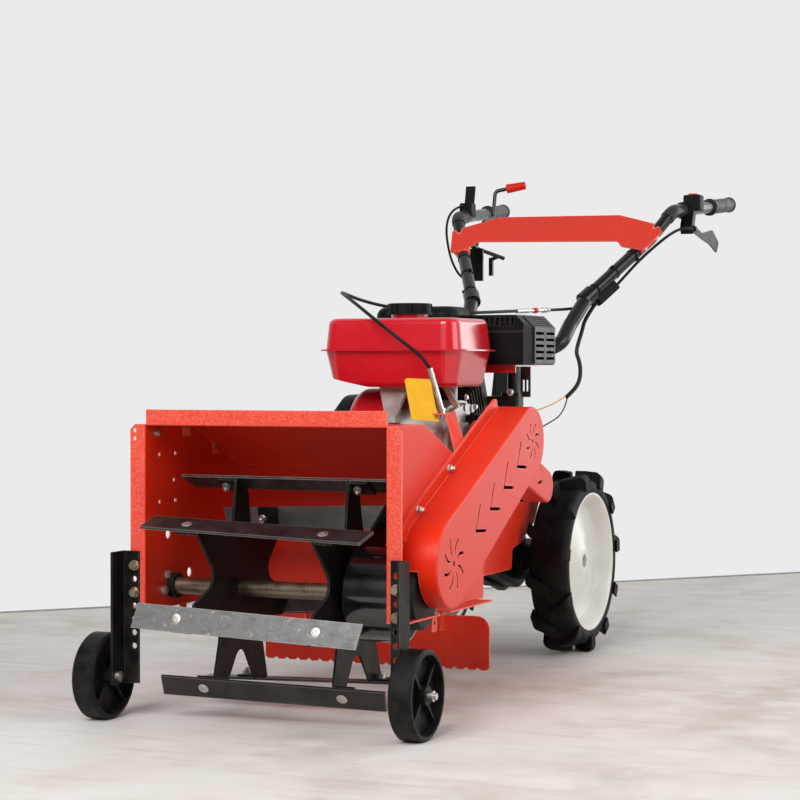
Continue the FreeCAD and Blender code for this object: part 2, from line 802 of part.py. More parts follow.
def belt_cover():
    outer = belt_solid(cover_low_y, cover_low_z, cover_low_r, crank_y, crank_z, cover_up_r, cover_x0, cover_x1)
    outer = outer.makeFillet(cover_edge_r, edges_at(outer, x=cover_x1))
    inner = belt_solid(cover_low_y, cover_low_z, cover_low_r - sheet, crank_y, crank_z,
                       cover_up_r - sheet, cover_x0, cover_x1 - sheet)
    strip = front_strip(cover_x0, cover_x0 + sheet)
    cover = joined([outer, strip]).cut(inner)
    face = (cover_x1 - sheet - 1, cover_x1 + 1)
    slots = swirl(cover_low_y, cover_low_z, swirl_low_r, *face)
    slots += swirl(crank_y, crank_z, swirl_up_r, *face)
    along = math.atan2(crank_z - cover_low_z, crank_y - cover_low_y)
    for i in range(hook_count):
        back = i * hook_pitch
        slots.append(hook_slot(crank_y - 92 - back * math.cos(along), crank_z - 50 - back * math.sin(along),
                               1, *face))
    case_room = rod_x(cover_x0 - 1, wall_out + gear_case_out + case_notch_gap, rotor_y, rotor_z,
                      gear_case_r + case_notch_gap)
    return cover.cut(slots + [case_room])


def rear_belt_cover():
    # closed cover from the crank down to the gearbox input
    outer = belt_solid(input_y, input_z, rear_cover_r0, crank_y, crank_z, rear_cover_r1, rear_cover_x0, wall_out)
    outer = outer.makeFillet(cover_edge_r, edges_at(outer, x=wall_out))
    inner = belt_solid(input_y, input_z, rear_cover_r0 - sheet, crank_y, crank_z,
                       rear_cover_r1 - sheet, rear_cover_x0 + sheet, wall_out - sheet)
    face = (wall_out - sheet - 1, wall_out + 1)
    along = math.atan2(crank_z - input_z, crank_y - input_y)
    slots = []
    for i in range(3):
        back = i * hook_pitch * 0.65
        slots.append(hook_slot(input_y - 38 + back * math.cos(along), input_z + 10 + back * math.sin(along),
                               -0.45, *face))
    hole = rod_x(rear_cover_x0 - 1, wall_out + 1, crank_y, crank_z, shaft_hole_r)
    return outer.cut([inner, hole] + slots)


# ---- engine ----
def case_profile(inset):
    # the crankcase seen from the side, about the crank
    front, back = -86 + inset, 93 - inset
    foot = foot_t - crank_h
    outline = [(front, foot), (front, 20), (-58 + inset / 2, 66 - inset), (10, 80 - inset),
               (52 - inset / 2, 77 - inset), (back, -10), (back, foot)]
    return [(crank_y + y, crank_z + z) for y, z in outline]


def softened(shape, r, length):
    # round the corners of a profile drawn along X
    return shape.makeFillet(r, [e for e in shape.Edges if abs(e.BoundBox.XLength - length) < 0.1
                                and e.BoundBox.ZMax > base_z + foot_t + 1])


def engine_block():
    # crankcase on its foot, with the side cover and crank end on the belt side
    case = softened(prism_x(case_profile(0), case_x0, case_x1), 14, case_w)
    cover = softened(prism_x(case_profile(5), case_x1, case_x1 + side_cover_t), 14, side_cover_t)
    cover = cover.makeFillet(4, [e for e in edges_at(cover, x=case_x1 + side_cover_t)
                                 if e.BoundBox.ZMax > base_z + foot_t + 1])
    foot = rounded_block(case_x0, case_x1 + 12, crank_y - 98, crank_y + 104, base_z, base_z + foot_t, 18)
    face = case_x1 + side_cover_t
    boss = rod_x(face, face + boss_t, crank_y, crank_z, boss_r)
    crank = rod_x(face + boss_t, cover_x1 - crank_end_gap, crank_y, crank_z, crank_r)
    lugs = [rod_x(case_x1 - 20, face + 3, y, z, 8) for y, z in case_profile(14)[1:6]]
    return joined([case, cover, foot, boss, crank] + lugs)


def rounded_block(x0, x1, y0, y1, z0, z1, r):
    return Part.Face(rounded_outline(x0, x1, y0, y1, z0, r)).extrude(vec(0, 0, z1 - z0))


def along_cylinder(shape):
    # lay a shape drawn upright about the origin along the cylinder's axis
    laid = turned(shape, vec(0, 0, 0), vec(1, 0, 0), cylinder_lean - 90)
    laid.translate(vec(case_mid_x, crank_y, crank_z))
    return laid


def square_slab(half, s0, s1, r):
    return rounded_block(-half, half, -half, half, s0, s1, r)


def engine_cylinder(block_shape):
    barrel_end = barrel_start + barrel_l
    head_end = barrel_end + head_l
    parts = [square_slab(barrel_w / 2, barrel_start - 20, barrel_end, 20)]
    pitch = barrel_l / fin_count
    parts += [square_slab(fin_w / 2, barrel_start + 5 + pitch * i, barrel_start + 5 + pitch * i + fin_t, 16)
              for i in range(fin_count)]
    parts.append(square_slab(head_w / 2, barrel_end, barrel_end + 12, 12))
    parts.append(square_slab(head_w / 2 - 6, barrel_end + 12, head_end, 12))
    rocker = square_slab(rocker_w / 2, head_end, head_end + rocker_l, 14)
    top = head_end + rocker_l
    parts.append(rocker.makeFillet(6, edges_at(rocker, z=top)))
    cylinder = along_cylinder(joined(parts))
    port = block(case_mid_x + head_w / 2 - 20, pipe_x + 18, pipe_y - 18, pipe_y + 20, port_z - 20, port_z)
    port = port.makeFillet(7, upright_edges(port))
    return joined([cylinder, port]).cut(block_shape)


def fan_cover():
    x0 = case_x0 - fan_w
    cover = belt_solid(crank_y, crank_z, fan_r, crank_y + 101, crank_z + 41, fan_duct_r, x0, case_x0)
    return cover.makeFillet(fan_edge_r, edges_at(cover, x=x0))


def recoil_starter():
    # slotted cone over the fan with the pull handle beside it
    x = case_x0 - fan_w
    shell = [(0, recoil_r), (-28, recoil_r - 2), (-49, recoil_nose_r + 5), (-recoil_l, recoil_nose_r - 5),
             (-recoil_l, 0)]
    inside = [(a + recoil_t, max(0, r - recoil_t)) for a, r in shell[:0:-1]] + [(0, recoil_r - recoil_t)]
    cone = ring_x([(x + a, r) for a, r in shell + inside], crank_y, crank_z)
    slots = []
    for i in range(recoil_slots):
        slot = block(x - recoil_l - 1, x - 10, recoil_nose_r * 0.55, recoil_r - 9,
                     -recoil_slot_w / 2, recoil_slot_w / 2)
        slot.rotate(vec(0, 0, 0), vec(1, 0, 0), 360 / recoil_slots * i)
        slot.translate(vec(0, crank_y, crank_z))
        slots.append(slot)
    hub = rod_x(x - recoil_l + 1, x, crank_y, crank_z, recoil_nose_r * 0.42)
    pull_y = crank_y + recoil_r + 6
    pull = rod(vec(x - 18, pull_y, crank_z - 24), vec(x - 18, pull_y, crank_z + 24), 9)
    return joined([cone.cut(slots), hub, pull])


def fuel_tank():
    # two pressed halves meeting at a flanged seam, the floor rising to the fan side
    size = (tank_x0, tank_x1, tank_y0, tank_y1)
    upper = tapered(*size, seam_z, tank_z1, tank_top_draft, tank_corner_r)
    upper = upper.makeFillet(tank_edge_r, edges_at(upper, z=tank_z1))
    lower = tapered(*size, seam_z, tank_z0, tank_low_draft, tank_corner_r)
    lower = lower.makeFillet(tank_edge_r, edges_at(lower, z=tank_z0))
    rise = prism_y([(tank_x0 - 1, tank_z0 - 1), (tank_x0 + tank_rise_w, tank_z0 - 1),
                    (tank_x0 - 1, tank_z0 + tank_rise)], tank_y0 - 1, tank_y1 + 1)
    w = tank_seam_w
    seam = rounded_block(tank_x0 - w, tank_x1 + w, tank_y0 - w, tank_y1 + w, seam_z - tank_seam_t / 2,
                         seam_z + tank_seam_t / 2, tank_corner_r + w)
    neck = rod_z(cap_x, cap_y, tank_z1 - 1, cap_z, neck_r)
    return joined([upper, lower.cut(rise), seam, neck])


def fuel_cap():
    cap = rod_z(cap_x, cap_y, cap_z, cap_z + cap_h, cap_r)
    cap = cap.makeFillet(4, edges_at(cap, z=cap_z + cap_h))
    notches = []
    for i in range(cap_lobes):
        a = 2 * math.pi * (i + 0.3) / cap_lobes
        reach = cap_r + cap_notch_r * 0.35
        notches.append(rod_z(cap_x + reach * math.cos(a), cap_y + reach * math.sin(a),
                             cap_z + 3, cap_z + cap_h + 1, cap_notch_r))
    return cap.cut(notches)


def tank_legs(block_shape, tank):
    # cast arm in front, a light arm beside it and two posts behind
    web_y0 = crank_y - 103
    top = tank_z0 + 12
    arm = prism_y([(28, top), (94, top), (88, tank_z0 - 12), (60, 548), (44, 548), (34, tank_z0 - 14)],
                  web_y0, web_y0 + 14)
    foot = block(40, 64, web_y0, crank_y - 58, 540, 566)
    light = prism_y([(150, tank_z0 + 8), (160, tank_z0 + 8), (188, 578), (178, 570)], -506, -494)
    posts = [rod_z(x, crank_y + 22, crank_z + 74, top, 8) for x in (60, 140)]
    return Part.makeCompound([shape.cut([block_shape, tank]) for shape in [joined([arm, foot]), light] + posts])


# ---- muffler ----
def guard_box():
    bevel_x = muffler_x1 - muffler_bevel
    bevel_z = muffler_z1 - muffler_bevel
    box = prism_y([(muffler_x0, muffler_z0), (muffler_x0, muffler_z1), (bevel_x, muffler_z1),
                   (muffler_x1, bevel_z), (muffler_x1, muffler_z0)], muffler_y0, muffler_y1)
    corner = prism_z([(muffler_x1 - muffler_chamfer_x, muffler_y0 - 1), (muffler_x1 + 1, muffler_y0 - 1),
                      (muffler_x1 + 1, muffler_y0 + muffler_chamfer_y), (muffler_x1, muffler_y0 + muffler_chamfer_y),
                      (muffler_x1 - muffler_chamfer_x, muffler_y0)], muffler_z0 - 1, muffler_z1 + 1)
    return box.cut(corner)


def end_slots(x0, x1):
    # two columns of level slots through the guard's end
    slots = []
    for i in range(end_slot_rows):
        z = muffler_z0 + 11 + end_slot_pitch * i
        for j in range(2):
            y = muffler_y1 - 6 - end_slot_l - j * (end_slot_l + end_slot_gap)
            slots.append(block(x0, x1, y, y + end_slot_l, z, z + end_slot_h))
    return slots


def muffler_guard():
    guard = guard_box()
    soft = edges_at(guard, x=muffler_x0, z=muffler_z1) + edges_at(guard, x=muffler_x0, y=muffler_y0)
    guard = guard.makeFillet(8, soft)
    cuts = end_slots(muffler_x1 - slot_depth, muffler_x1 + 1)
    for i in range(guard_slots):
        x = muffler_x1 - 91 + guard_slot_pitch * i
        cuts.append(block(x, x + guard_slot_w, muffler_y0 - 1, muffler_y0 + slot_depth,
                          muffler_z1 - 5 - guard_slot_h, muffler_z1 - 5))
    groove_z = muffler_z1 - 35
    cuts.append(block(muffler_x0 - 1, muffler_x1 + 1, muffler_y0 - 1, muffler_y0 + 1.5, groove_z, groove_z + 2.5))
    return guard.cut(cuts)


def muffler_plate():
    # slotted end plate, bent over the guard's bevel
    t = sheet
    lift = t * math.tan(math.radians(22.5))
    tip = t * math.sin(math.radians(45))
    bevel_x = muffler_x1 - muffler_bevel
    bevel_z = muffler_z1 - muffler_bevel
    plate = prism_y([(muffler_x1, muffler_z0 + 3), (muffler_x1, bevel_z), (bevel_x + 2, muffler_z1 - 2),
                     (bevel_x + 2 + tip, muffler_z1 - 2 + tip), (muffler_x1 + t, bevel_z + lift),
                     (muffler_x1 + t, muffler_z0 + 3)], muffler_y0 + muffler_chamfer_y, muffler_y1)
    return plate.cut(end_slots(muffler_x1 - 1, muffler_x1 + t + 1))


def muffler_shroud():
    # painted sheet under the guard, turned down in front
    top = muffler_z0
    low = top - sheet
    shroud = prism_x([(muffler_y0 + 20, top), (muffler_y1 + 2, top), (muffler_y1 + 2, low),
                      (muffler_y0 + 20 + sheet, low), (muffler_y0 + 20 + sheet, top - 16),
                      (muffler_y0 + 20, top - 16)], muffler_x0 + 2, muffler_x1 - 34)
    return shroud


def exhaust_pipe():
    flange = block(pipe_x - 22, pipe_x + 18, pipe_y - 17, pipe_y + 24, port_z, port_z + 8)
    flange = flange.makeFillet(8, upright_edges(flange))
    return joined([flange, rod_z(pipe_x, pipe_y, port_z + 8, muffler_z0 - sheet, pipe_r)])


def muffler_bracket():
    y = muffler_y1
    plate = block(pipe_x + 8, pipe_x + 30, y, y + sheet, port_z - 2, muffler_z0 + 30)
    foot = block(pipe_x + 8, pipe_x + 18, pipe_y + 24, y + sheet, port_z, port_z + 6)
    slots = [block(x, x + 4, y - 1, y + sheet + 1, port_z + 10, port_z + 34) for x in (pipe_x + 13, pipe_x + 21)]
    return joined([plate.cut(slots), foot]).cut(muffler_shroud())


def carburettor(cylinder):
    y, z = crank_y + 179, crank_z + 83
    x1 = carb_x + carb_w / 2
    body = block(carb_x - carb_w / 2, x1, y - 23, y + 23, z - 24, z + 24)
    body = body.makeFillet(6, body.Edges)
    bowl = rod_z(carb_x, y, z - 50, z - 20, bowl_r)
    bowl = bowl.makeFillet(4, edges_at(bowl, z=z - 50))
    inlet = rod_x(x1 - 2, case_mid_x - head_w / 2 + 12, y, z, 15)
    elbow = bent_tube([vec(carb_x - 10, y, z), vec(carb_x - 46, y, z), vec(carb_x - 46, y, cleaner_z0 - cleaner_foot_h)],
                       15, 20)
    return joined([body, bowl, inlet, elbow]).cut(cylinder)


def air_cleaner():
    x0, x1 = cleaner_x0, cleaner_x0 + cleaner_w
    y0, y1 = cleaner_y0, cleaner_y0 + cleaner_l
    z1 = cleaner_z0 + cleaner_h
    case = tapered(x0, x1, y0, y1, cleaner_z0, z1, cleaner_draft, cleaner_corner_r)
    case = case.makeFillet(cleaner_edge_r, edges_at(case, z=z1))
    foot = rounded_block(x0 + 12, x1 - 12, y0 + 12, y1 - 12, cleaner_z0 - cleaner_foot_h, cleaner_z0, 30)
    return joined([case, foot])


# ---- frame, gearbox ----
def frame_rail():
    ledge = base_z - plate_t
    outline = [(back_wall_y(rail_z0), rail_z0), (back_wall_y(ledge), ledge), (rail_step_y, ledge),
               (rail_step_y + 40, rail_z1), (rail_end_y, rail_z1), (rail_end_y - 47, rail_z1 - 60),
               (rail_end_y - 131, rail_z0 + 55), (rail_end_y - 185, rail_z0 + 46), (rail_end_y - 193, rail_z0)]
    rail = prism_x(outline, rail_x - rail_t, rail_x)
    rear = [e for e in rail.Edges if abs(e.BoundBox.XLength - rail_t) < 0.1 and e.BoundBox.YMin > input_y]
    return rail.makeFillet(9, rear)


def engine_plate():
    front = back_wall_y(base_z) + 20
    return block(-rail_x, case_x1 + 22, front, rail_step_y, base_z - plate_t, base_z)


def gear_lobe(y0, z0, r0, y1, z1, r1, half, edge):
    lobe = belt_solid(y0, z0, r0, y1, z1, r1, -half, half)
    return lobe.makeFillet(edge, edges_at(lobe, x=-half) + edges_at(lobe, x=half)) if edge else lobe


def gearbox():
    lobes = ((input_y, input_z, gear_input_r, gear_mid_y, gear_mid_z, gear_mid_r),
             (gear_mid_y, gear_mid_z, gear_mid_r, axle_y, tyre_r, gear_low_r))
    parts = [gear_lobe(*lobe, gearbox_hw, 10) for lobe in lobes]
    for y0, z0, r0, y1, z1, r1 in lobes:
        parts.append(gear_lobe(y0, z0, r0 + gear_seam_w, y1, z1, r1 + gear_seam_w, gear_seam_t / 2, 0))
    house = tyre_x - hub_in - axle_house_gap
    parts.append(rod_x(-house, house, axle_y, tyre_r, axle_house_r))
    parts.append(rod_x(gearbox_hw - 4, gearbox_hw + 20, axle_y, tyre_r, axle_house_r + 14))
    parts.append(rod_x(-gearbox_hw - 20, 4 - gearbox_hw, axle_y, tyre_r, axle_house_r + 14))
    inner = rail_x - rail_t
    parts.append(block(-inner, inner, gear_mid_y - 88, gear_mid_y - 50, gear_mid_z - 60, gear_mid_z + 30))
    parts.append(rod_x(gearbox_hw - 4, rear_cover_x0, input_y, input_z, input_r))
    parts.append(rod_x(rear_cover_x0 - 10, rear_cover_x0, input_y, input_z, rear_cover_r0))
    case = joined(parts)
    return case.cut(rod_x(-house - 1, house + 1, axle_y, tyre_r, axle_r + running_gap))


# ---- drive wheels ----
def drive_axle():
    end = tyre_x1 - dish_d - 6
    return rod_x(-end, end, axle_y, tyre_r, axle_r)


def drive_tyre():
    seat = rim_lip + 2
    side = bead_r + seat
    x0, x1 = tyre_x, tyre_x1
    return ring_x([(x0 + seat, bead_r), (x0 + seat, side), (x0, side + seat), (x0 + 2, tyre_r - tyre_shoulder),
                   (x0 + tyre_shoulder, tyre_r), (x1 - tyre_shoulder, tyre_r),
                   (x1 - 2, tyre_r - tyre_shoulder), (x1, side + seat), (x1 - seat, side), (x1 - seat, bead_r)],
                  axle_y, tyre_r)


def drive_rim():
    # rolled rim with a lip at each bead, a smooth bowl and a hub tube
    seat = rim_lip + 2
    x0, x1 = tyre_x + seat, tyre_x1 - seat
    disc = tyre_x1 - dish_d
    out = x1 + rim_lip / 2
    back = x0 - rim_lip / 2
    flat_r = 62.0
    sag = 0.62
    hole = axle_r + hub_hole_gap
    lip = bead_r + rim_lip

    def at(x, r):
        return vec(x, axle_y, tyre_r + r)

    bowl_mid = at(disc + (out - disc) * 0.34, flat_r + (bead_r - flat_r) * sag)
    bowl_mid_back = at(disc + (out - disc) * 0.34 - rim_t, flat_r + (bead_r - flat_r) * sag + 1)
    barrel = bead_r - rim_t
    outline = [at(back, barrel), at(back, lip), at(x0, lip), at(x0, bead_r), at(x1, bead_r), at(x1, lip),
               at(out, lip), at(out, barrel)]
    inside = [at(disc, flat_r), at(disc, hole), at(disc - 14, hole), at(disc - 14, axle_r),
              at(tyre_x - hub_in, axle_r), at(tyre_x - hub_in, hub_r), at(disc - rim_t, hub_r), at(disc - rim_t, flat_r)]
    edges = [Part.LineSegment(p, q).toShape() for p, q in zip(outline, outline[1:])]
    edges.append(Part.Arc(outline[-1], bowl_mid, inside[0]).toShape())
    edges += [Part.LineSegment(p, q).toShape() for p, q in zip(inside, inside[1:])]
    shoulder = at(x1 - rim_t, barrel)
    edges.append(Part.Arc(inside[-1], bowl_mid_back, shoulder).toShape())
    edges.append(Part.LineSegment(shoulder, outline[0]).toShape())
    return Part.Face(Part.Wire(edges)).revolve(vec(0, axle_y, tyre_r), vec(1, 0, 0), 360)


# ---- handlebar ----
def handle_points(side):
    return [vec(side * collar_x, collar_y, collar_z), vec(side * brace_x, brace_y, brace_z),
            vec(side * knee_x, knee_y, knee_z), vec(side * handle_x, handle_y, handle_z)]


def handlebar_lower():
    # one bent tube from collar to collar
    mid_x, mid_y, mid_z = u_x + 7, u_y + 60, u_z + 56
    points = [vec(-collar_x, collar_y, collar_z), vec(-mid_x, mid_y, mid_z), vec(-u_x, u_y, u_z),
              vec(u_x, u_y, u_z), vec(mid_x, mid_y, mid_z), vec(collar_x, collar_y, collar_z)]
    return bent_tube(points, lower_tube_r, u_bend)


def handlebar_upper(side, lower):
    # grip tube with the collar that joins it to the lower tube
    points = handle_points(side)
    direction = (points[1] - points[0]).normalize()
    start = points[0] - direction * (collar_l / 2)
    collar = rod(start, start + direction * collar_l, collar_r)
    return joined([bent_tube(points, tube_r, tube_bend), collar]).cut(lower)


def handlebar_column(gear_case, lower):
    # tapering post from the gearbox up to a clamp round the lower tube
    low_z = tyre_r + column_up
    foot = rounded_outline(-45, 45, column_y - 96, column_y + 14, low_z, 16)
    top = rounded_outline(-28, 28, u_y - 26, u_y + 20, u_z - 8, 12)
    post = Part.makeLoft([foot, top], True, True)
    clamp = rod_x(-34, 34, u_y, u_z, lower_tube_r + 9)
    return joined([post, clamp]).cut([gear_case, lower])


def grip(side, tube):
    points = handle_points(side)
    direction = (points[3] - points[2]).normalize()
    end = points[3]
    start = end - direction * grip_l
    flange = rod(start - direction * 4, start + direction * 2, grip_flange_r)
    whole = joined([rod(start, end + direction * 4, grip_r), flange])
    return whole.cut(tube)


def handle_sleeve(side, tube):
    points = handle_points(side)
    into = (points[2] - points[1]).normalize()
    out = (points[3] - points[2]).normalize()
    route = [points[2] - into * sleeve_before, points[2], points[2] + out * sleeve_after]
    return bent_tube(route, sleeve_r, tube_bend).cut(tube)


def brace_plane(x, up, forward):
    # a point on the brace: across, up the tubes' slope, and out from the tubes' middle
    slope = math.atan2(145.0, 182.0)
    return vec(x, brace_y + up * math.cos(slope) - forward * math.sin(slope),
               brace_z + up * math.sin(slope) + forward * math.cos(slope))


def handlebar_brace(tubes):
    # pressed sheet across the tubes, saddled over each of them
    outline = [(-277, 32), (-164, 87), (153, 81), (260, 36), (279, 4), (249, -70), (189, -52), (174, -29),
               (-191, -17), (-214, -47), (-252, -66)]
    out = brace_plane(0, 0, sheet) - brace_plane(0, 0, 0)
    panel = prism([brace_plane(x, up, tube_r) for x, up in outline], out)
    corners = [e for e in panel.Edges if abs(e.Length - sheet) < 0.1]
    panel = panel.makeFillet(9, corners)
    parts = [panel]
    for side in (-1, 1):
        a, b = handle_points(side)[0], handle_points(side)[1]
        direction = (b - a).normalize()
        pad = rod(b - direction * 58, b + direction * 6, tube_r + sheet)
        behind = prism([brace_plane(x, up, 0) for x, up in ((-400, -400), (400, -400), (400, 400), (-400, 400))],
                       (brace_plane(0, 0, 0) - brace_plane(0, 0, 60)))
        parts.append(pad.cut(behind))
    return joined(parts).cut(tubes)


def switch_block(obstacles):
    body = block(287, 331, 752, 790, 1040, 1080)
    body = body.makeFillet(5, body.Edges)
    return body.cut(obstacles)


def clutch_lever(obstacles):
    # clamp on the handle, hanging arm and a pressed blade under the grip
    points = handle_points(1)
    direction = (points[3] - points[2]).normalize()
    seat = points[2] + direction * (sleeve_after + 12)
    clamp = rod(seat - direction * 11, seat + direction * 11, tube_r + 6)
    arm = prism_x([(seat.y - 11, seat.z), (seat.y + 11, seat.z), (741, 993), (729, 981), (717, 993)],
                  seat.x, 319)
    blade = prism_x([(720, 985), (731, 1003), (800, 987), (835, 991), (900, 1000), (960, 972), (941, 945),
                     (880, 962), (806, 972)], 319, 323)
    blade = blade.makeFillet(6, [e for e in blade.Edges if abs(e.BoundBox.XLength - 4) < 0.1])
    bolt = rod_x(312, 329, 729, 993, 6)
    return joined([clamp, arm, blade, bolt]).cut(obstacles)


def throttle_lever(obstacles):
    body = block(-302, -268, 728, 764, 1040, 1076)
    body = body.makeFillet(5, body.Edges)
    paddle = prism_x([(752, 1074), (758, 1074), (768, 1120), (762, 1121)], -296, -271)
    collar = rod_z(-284, 756, 1074, 1082, 8)
    return joined([body, paddle, collar]).cut(obstacles)


def shift_lever(obstacles):
    # rod from the bracket under the left tube up to the cross grip
    points = [vec(-245, 700, 957), vec(-239, 742, 1027), vec(-247, 831, 1043), vec(-247, 847, 1113),
              vec(-216, 852, 1119)]
    lever = bent_tube(points, 5, 12)
    strap = rod(vec(-262, 640, 984), vec(-245, 700, 957), 7)
    crank = rod(vec(-245, 700, 957), vec(-190, 760, 932), 5)
    plate = block(-256, -220, 686, 692, 872, 955)
    pedal = block(-229, -219, 752, 762, 888, 934)
    link = rod(vec(-224, 757, 930), vec(-200, 748, 937), 5)
    return joined([lever, strap, crank, plate, pedal, link]).cut(obstacles)


def shift_grip(lever):
    start, end = vec(-216, 852, 1119), vec(-168, 860, 1127)
    return Part.makeCone(12, 10, (end - start).Length, start, end - start).cut(lever)


# ---- scraper flap ----
def flap():
    wave = 2 * flap_hw / wave_count
    plate = prism_y([(-flap_hw, flap_z0 + wave_h), (flap_hw, flap_z0 + wave_h), (flap_hw, flap_z1),
                     (-flap_hw, flap_z1)], flap_y, flap_y + sheet)
    plate = plate.makeFillet(flap_corner, edges_at(plate, x=-flap_hw, z=flap_z1)
                             + edges_at(plate, x=flap_hw, z=flap_z1))
    parts = [plate]
    for i in range(wave_count):
        x = -flap_hw + wave * (i + 0.5)
        tooth = prism_y([(x - wave / 2, flap_z0 + wave_h), (x - wave / 4, flap_z0), (x + wave / 4, flap_z0),
                         (x + wave / 2, flap_z0 + wave_h)], flap_y, flap_y + sheet)
        parts.append(tooth)
    for side in (-1, 1):
        x = side * flap_ear_x
        low, high = x - flap_ear_t / 2, x + flap_ear_t / 2
        parts.append(block(low, high, pin_y, flap_y + sheet, flap_z1 - 30, pin_z))
        parts.append(rod_x(low, high, pin_y, pin_z, ear_eye_r))
    return joined(parts).cut(rod_x(-wall_out, wall_out, pin_y, pin_z, pin_r + running_gap))


def flap_hangers():
    # lugs under the chamber's back wall with the hinge pins of the flap
    lugs = []
    top = wall_bottom_z + 42
    for side in (-1, 1):
        x = side * (flap_ear_x + flap_ear_t + 1)
        low, high = x - flap_ear_t / 2, x + flap_ear_t / 2
        lug = prism_x([(back_wall_y(top), top), (back_wall_y(wall_bottom_z), wall_bottom_z),
                       (pin_y - ear_eye_r, pin_z), (pin_y + ear_eye_r, pin_z), (pin_y + ear_eye_r, top)],
                      low, high)
        eye = rod_x(low, high, pin_y, pin_z, ear_eye_r)
        ends = sorted([x + side * (flap_ear_t / 2 + 3), side * (flap_ear_x - flap_ear_t / 2 - 4)])
        lugs.append(joined([lug, eye, rod_x(ends[0], ends[1], pin_y, pin_z, pin_r)]))
    return Part.makeCompound(lugs)


# ---- cables and what they hang from ----
clutch_cable_r = 3.5
throttle_cable_r = 3.0
loom_r = 4.75
wire_r = 1.5
barrel_r = 5.4
tag_t = 0.8
box_l = 76.0
box_w = 19.0
box_h = 25.0
loom_exit = vec(161, 452, 807)
barrel_foot = vec(197, -604, 556)
barrel_top = vec(172, -612, 648)


def cable_bracket():
    # tab that holds the cable's barrel, on a leg standing on the belt plate's strip
    corners = [vec(206, -612, 561), vec(206, -566, 566), vec(wall_out, -620, 511), vec(wall_out, -664, 492)]
    across = (corners[1] - corners[0]).cross(corners[3] - corners[0]).normalize() * sheet
    tab = block(178, 208, -614, -584, 558, 558 + sheet)
    whole = joined([prism(corners[:3], across), prism([corners[0]] + corners[2:], across), tab])
    return whole.cut(cable_barrel())


def cable_barrel():
    # threaded adjuster through the tab, with its two nuts
    direction = (barrel_top - barrel_foot).normalize()
    parts = [rod(barrel_foot, barrel_top, barrel_r)]
    tab_at = barrel_foot + direction * 5
    parts.append(rod(tab_at - direction * 6, tab_at - direction * 1.6, 8))
    parts.append(rod(tab_at + direction * 4.6, tab_at + direction * 9, 8))
    return joined(parts)


def rotor_clutch_cable():
    # from the bracket round the tank, behind the air cleaner and up to the lever on the right
    return cable("rotor_clutch_cable", [
        barrel_top, vec(160, -617, 668), vec(140, -624, 686), vec(114, -628, 705), vec(82, -625, 728),
        vec(38, -602, 754), vec(-10, -562, 778), vec(-55, -510, 795), vec(-93, -448, 804),
        vec(-114, -380, 803), vec(-114, -310, 793), vec(-94, -240, 782), vec(-55, -176, 774),
        vec(-5, -120, 770), vec(38, -50, 770), vec(60, 36, 774), vec(74, 126, 778), vec(88, 216, 781),
        vec(100, 305, 785), vec(114, 392, 789), vec(138, 452, 797), vec(168, 500, 819),
        vec(198, 544, 862), vec(232, 584, 906), vec(268, 622, 946), vec(294, 656, 974),
        vec(310, 686, 988), vec(318, 706, 992), vec(321, 722, 991)], clutch_cable_r)


def throttle_cable():
    # down beside the left handle, behind the tube and forward to the carburettor
    return cable("throttle_cable", [
        vec(-292, 728, 1068), vec(-301, 704, 1062), vec(-309, 674, 1040), vec(-303, 642, 1004),
        vec(-288, 614, 966), vec(-272, 598, 924), vec(-245, 578, 886), vec(-213, 554, 868),
        vec(-180, 520, 852), vec(-155, 486, 830), vec(-143, 458, 807), vec(-148, 428, 785),
        vec(-164, 384, 763), vec(-166, 330, 744),
        vec(-156, 264, 724), vec(-138, 196, 706), vec(-114, 128, 692), vec(-90, 58, 678),
        vec(-66, -14, 662), vec(-44, -86, 644), vec(-26, -150, 622), vec(-12, -196, 600),
        vec(-8, -229, 592)], throttle_cable_r)


def engine_loom():
    return cable("engine_loom", [
        loom_exit, vec(143, 420, 768), vec(147, 384, 735), vec(150, 344, 703), vec(160, 304, 684),
        vec(178, 268, 670), vec(194, 234, 650), vec(203, 204, 624), vec(201, 176, 602),
        vec(189, 150, 584)], loom_r)


def yellow_wire():
    return cable("engine_wire_yellow", [
        vec(187, 150, 586), vec(183, 104, 574), vec(176, 58, 564), vec(168, 8, 556), vec(162, -44, 546),
        vec(158, -98, 530), vec(155, -152, 512), vec(152, -206, 496), vec(150, -258, 482),
        vec(147, -300, 474), vec(146, -338, 470)], wire_r)


def black_wire():
    return cable("engine_wire_black", [
        vec(191, 150, 582), vec(194, 126, 562), vec(193, 88, 541), vec(186, 46, 529), vec(176, 0, 516),
        vec(166, -48, 506), vec(156, -98, 494), vec(148, -150, 482), vec(142, -202, 470),
        vec(138, -252, 460), vec(135, -298, 452), vec(134, -338, 450)], wire_r)


def lever_boxes(tube, obstacles):
    # switch on the handle, and the box under the tube that the loom comes out of
    points = handle_points(1)
    direction = (points[1] - points[0]).normalize()
    under = Part.makeBox(box_l, box_w, box_h, vec(0, -box_w / 2, -box_h / 2))
    under = under.makeFillet(4, under.Edges)
    under.Placement = FreeCAD.Placement(loom_exit, FreeCAD.Rotation(vec(1, 0, 0), direction))
    return Part.makeCompound([switch_block(obstacles), under.cut(tube)])


def tag():
    # blank card hung behind the barrel
    y = -603.0
    card = prism_y([(115, 625), (120, 629), (166, 627), (170, 622), (187, 545), (130, 549)], y, y + tag_t)
    return card.cut([rod(barrel_foot, barrel_top, barrel_r), cable_bracket()])


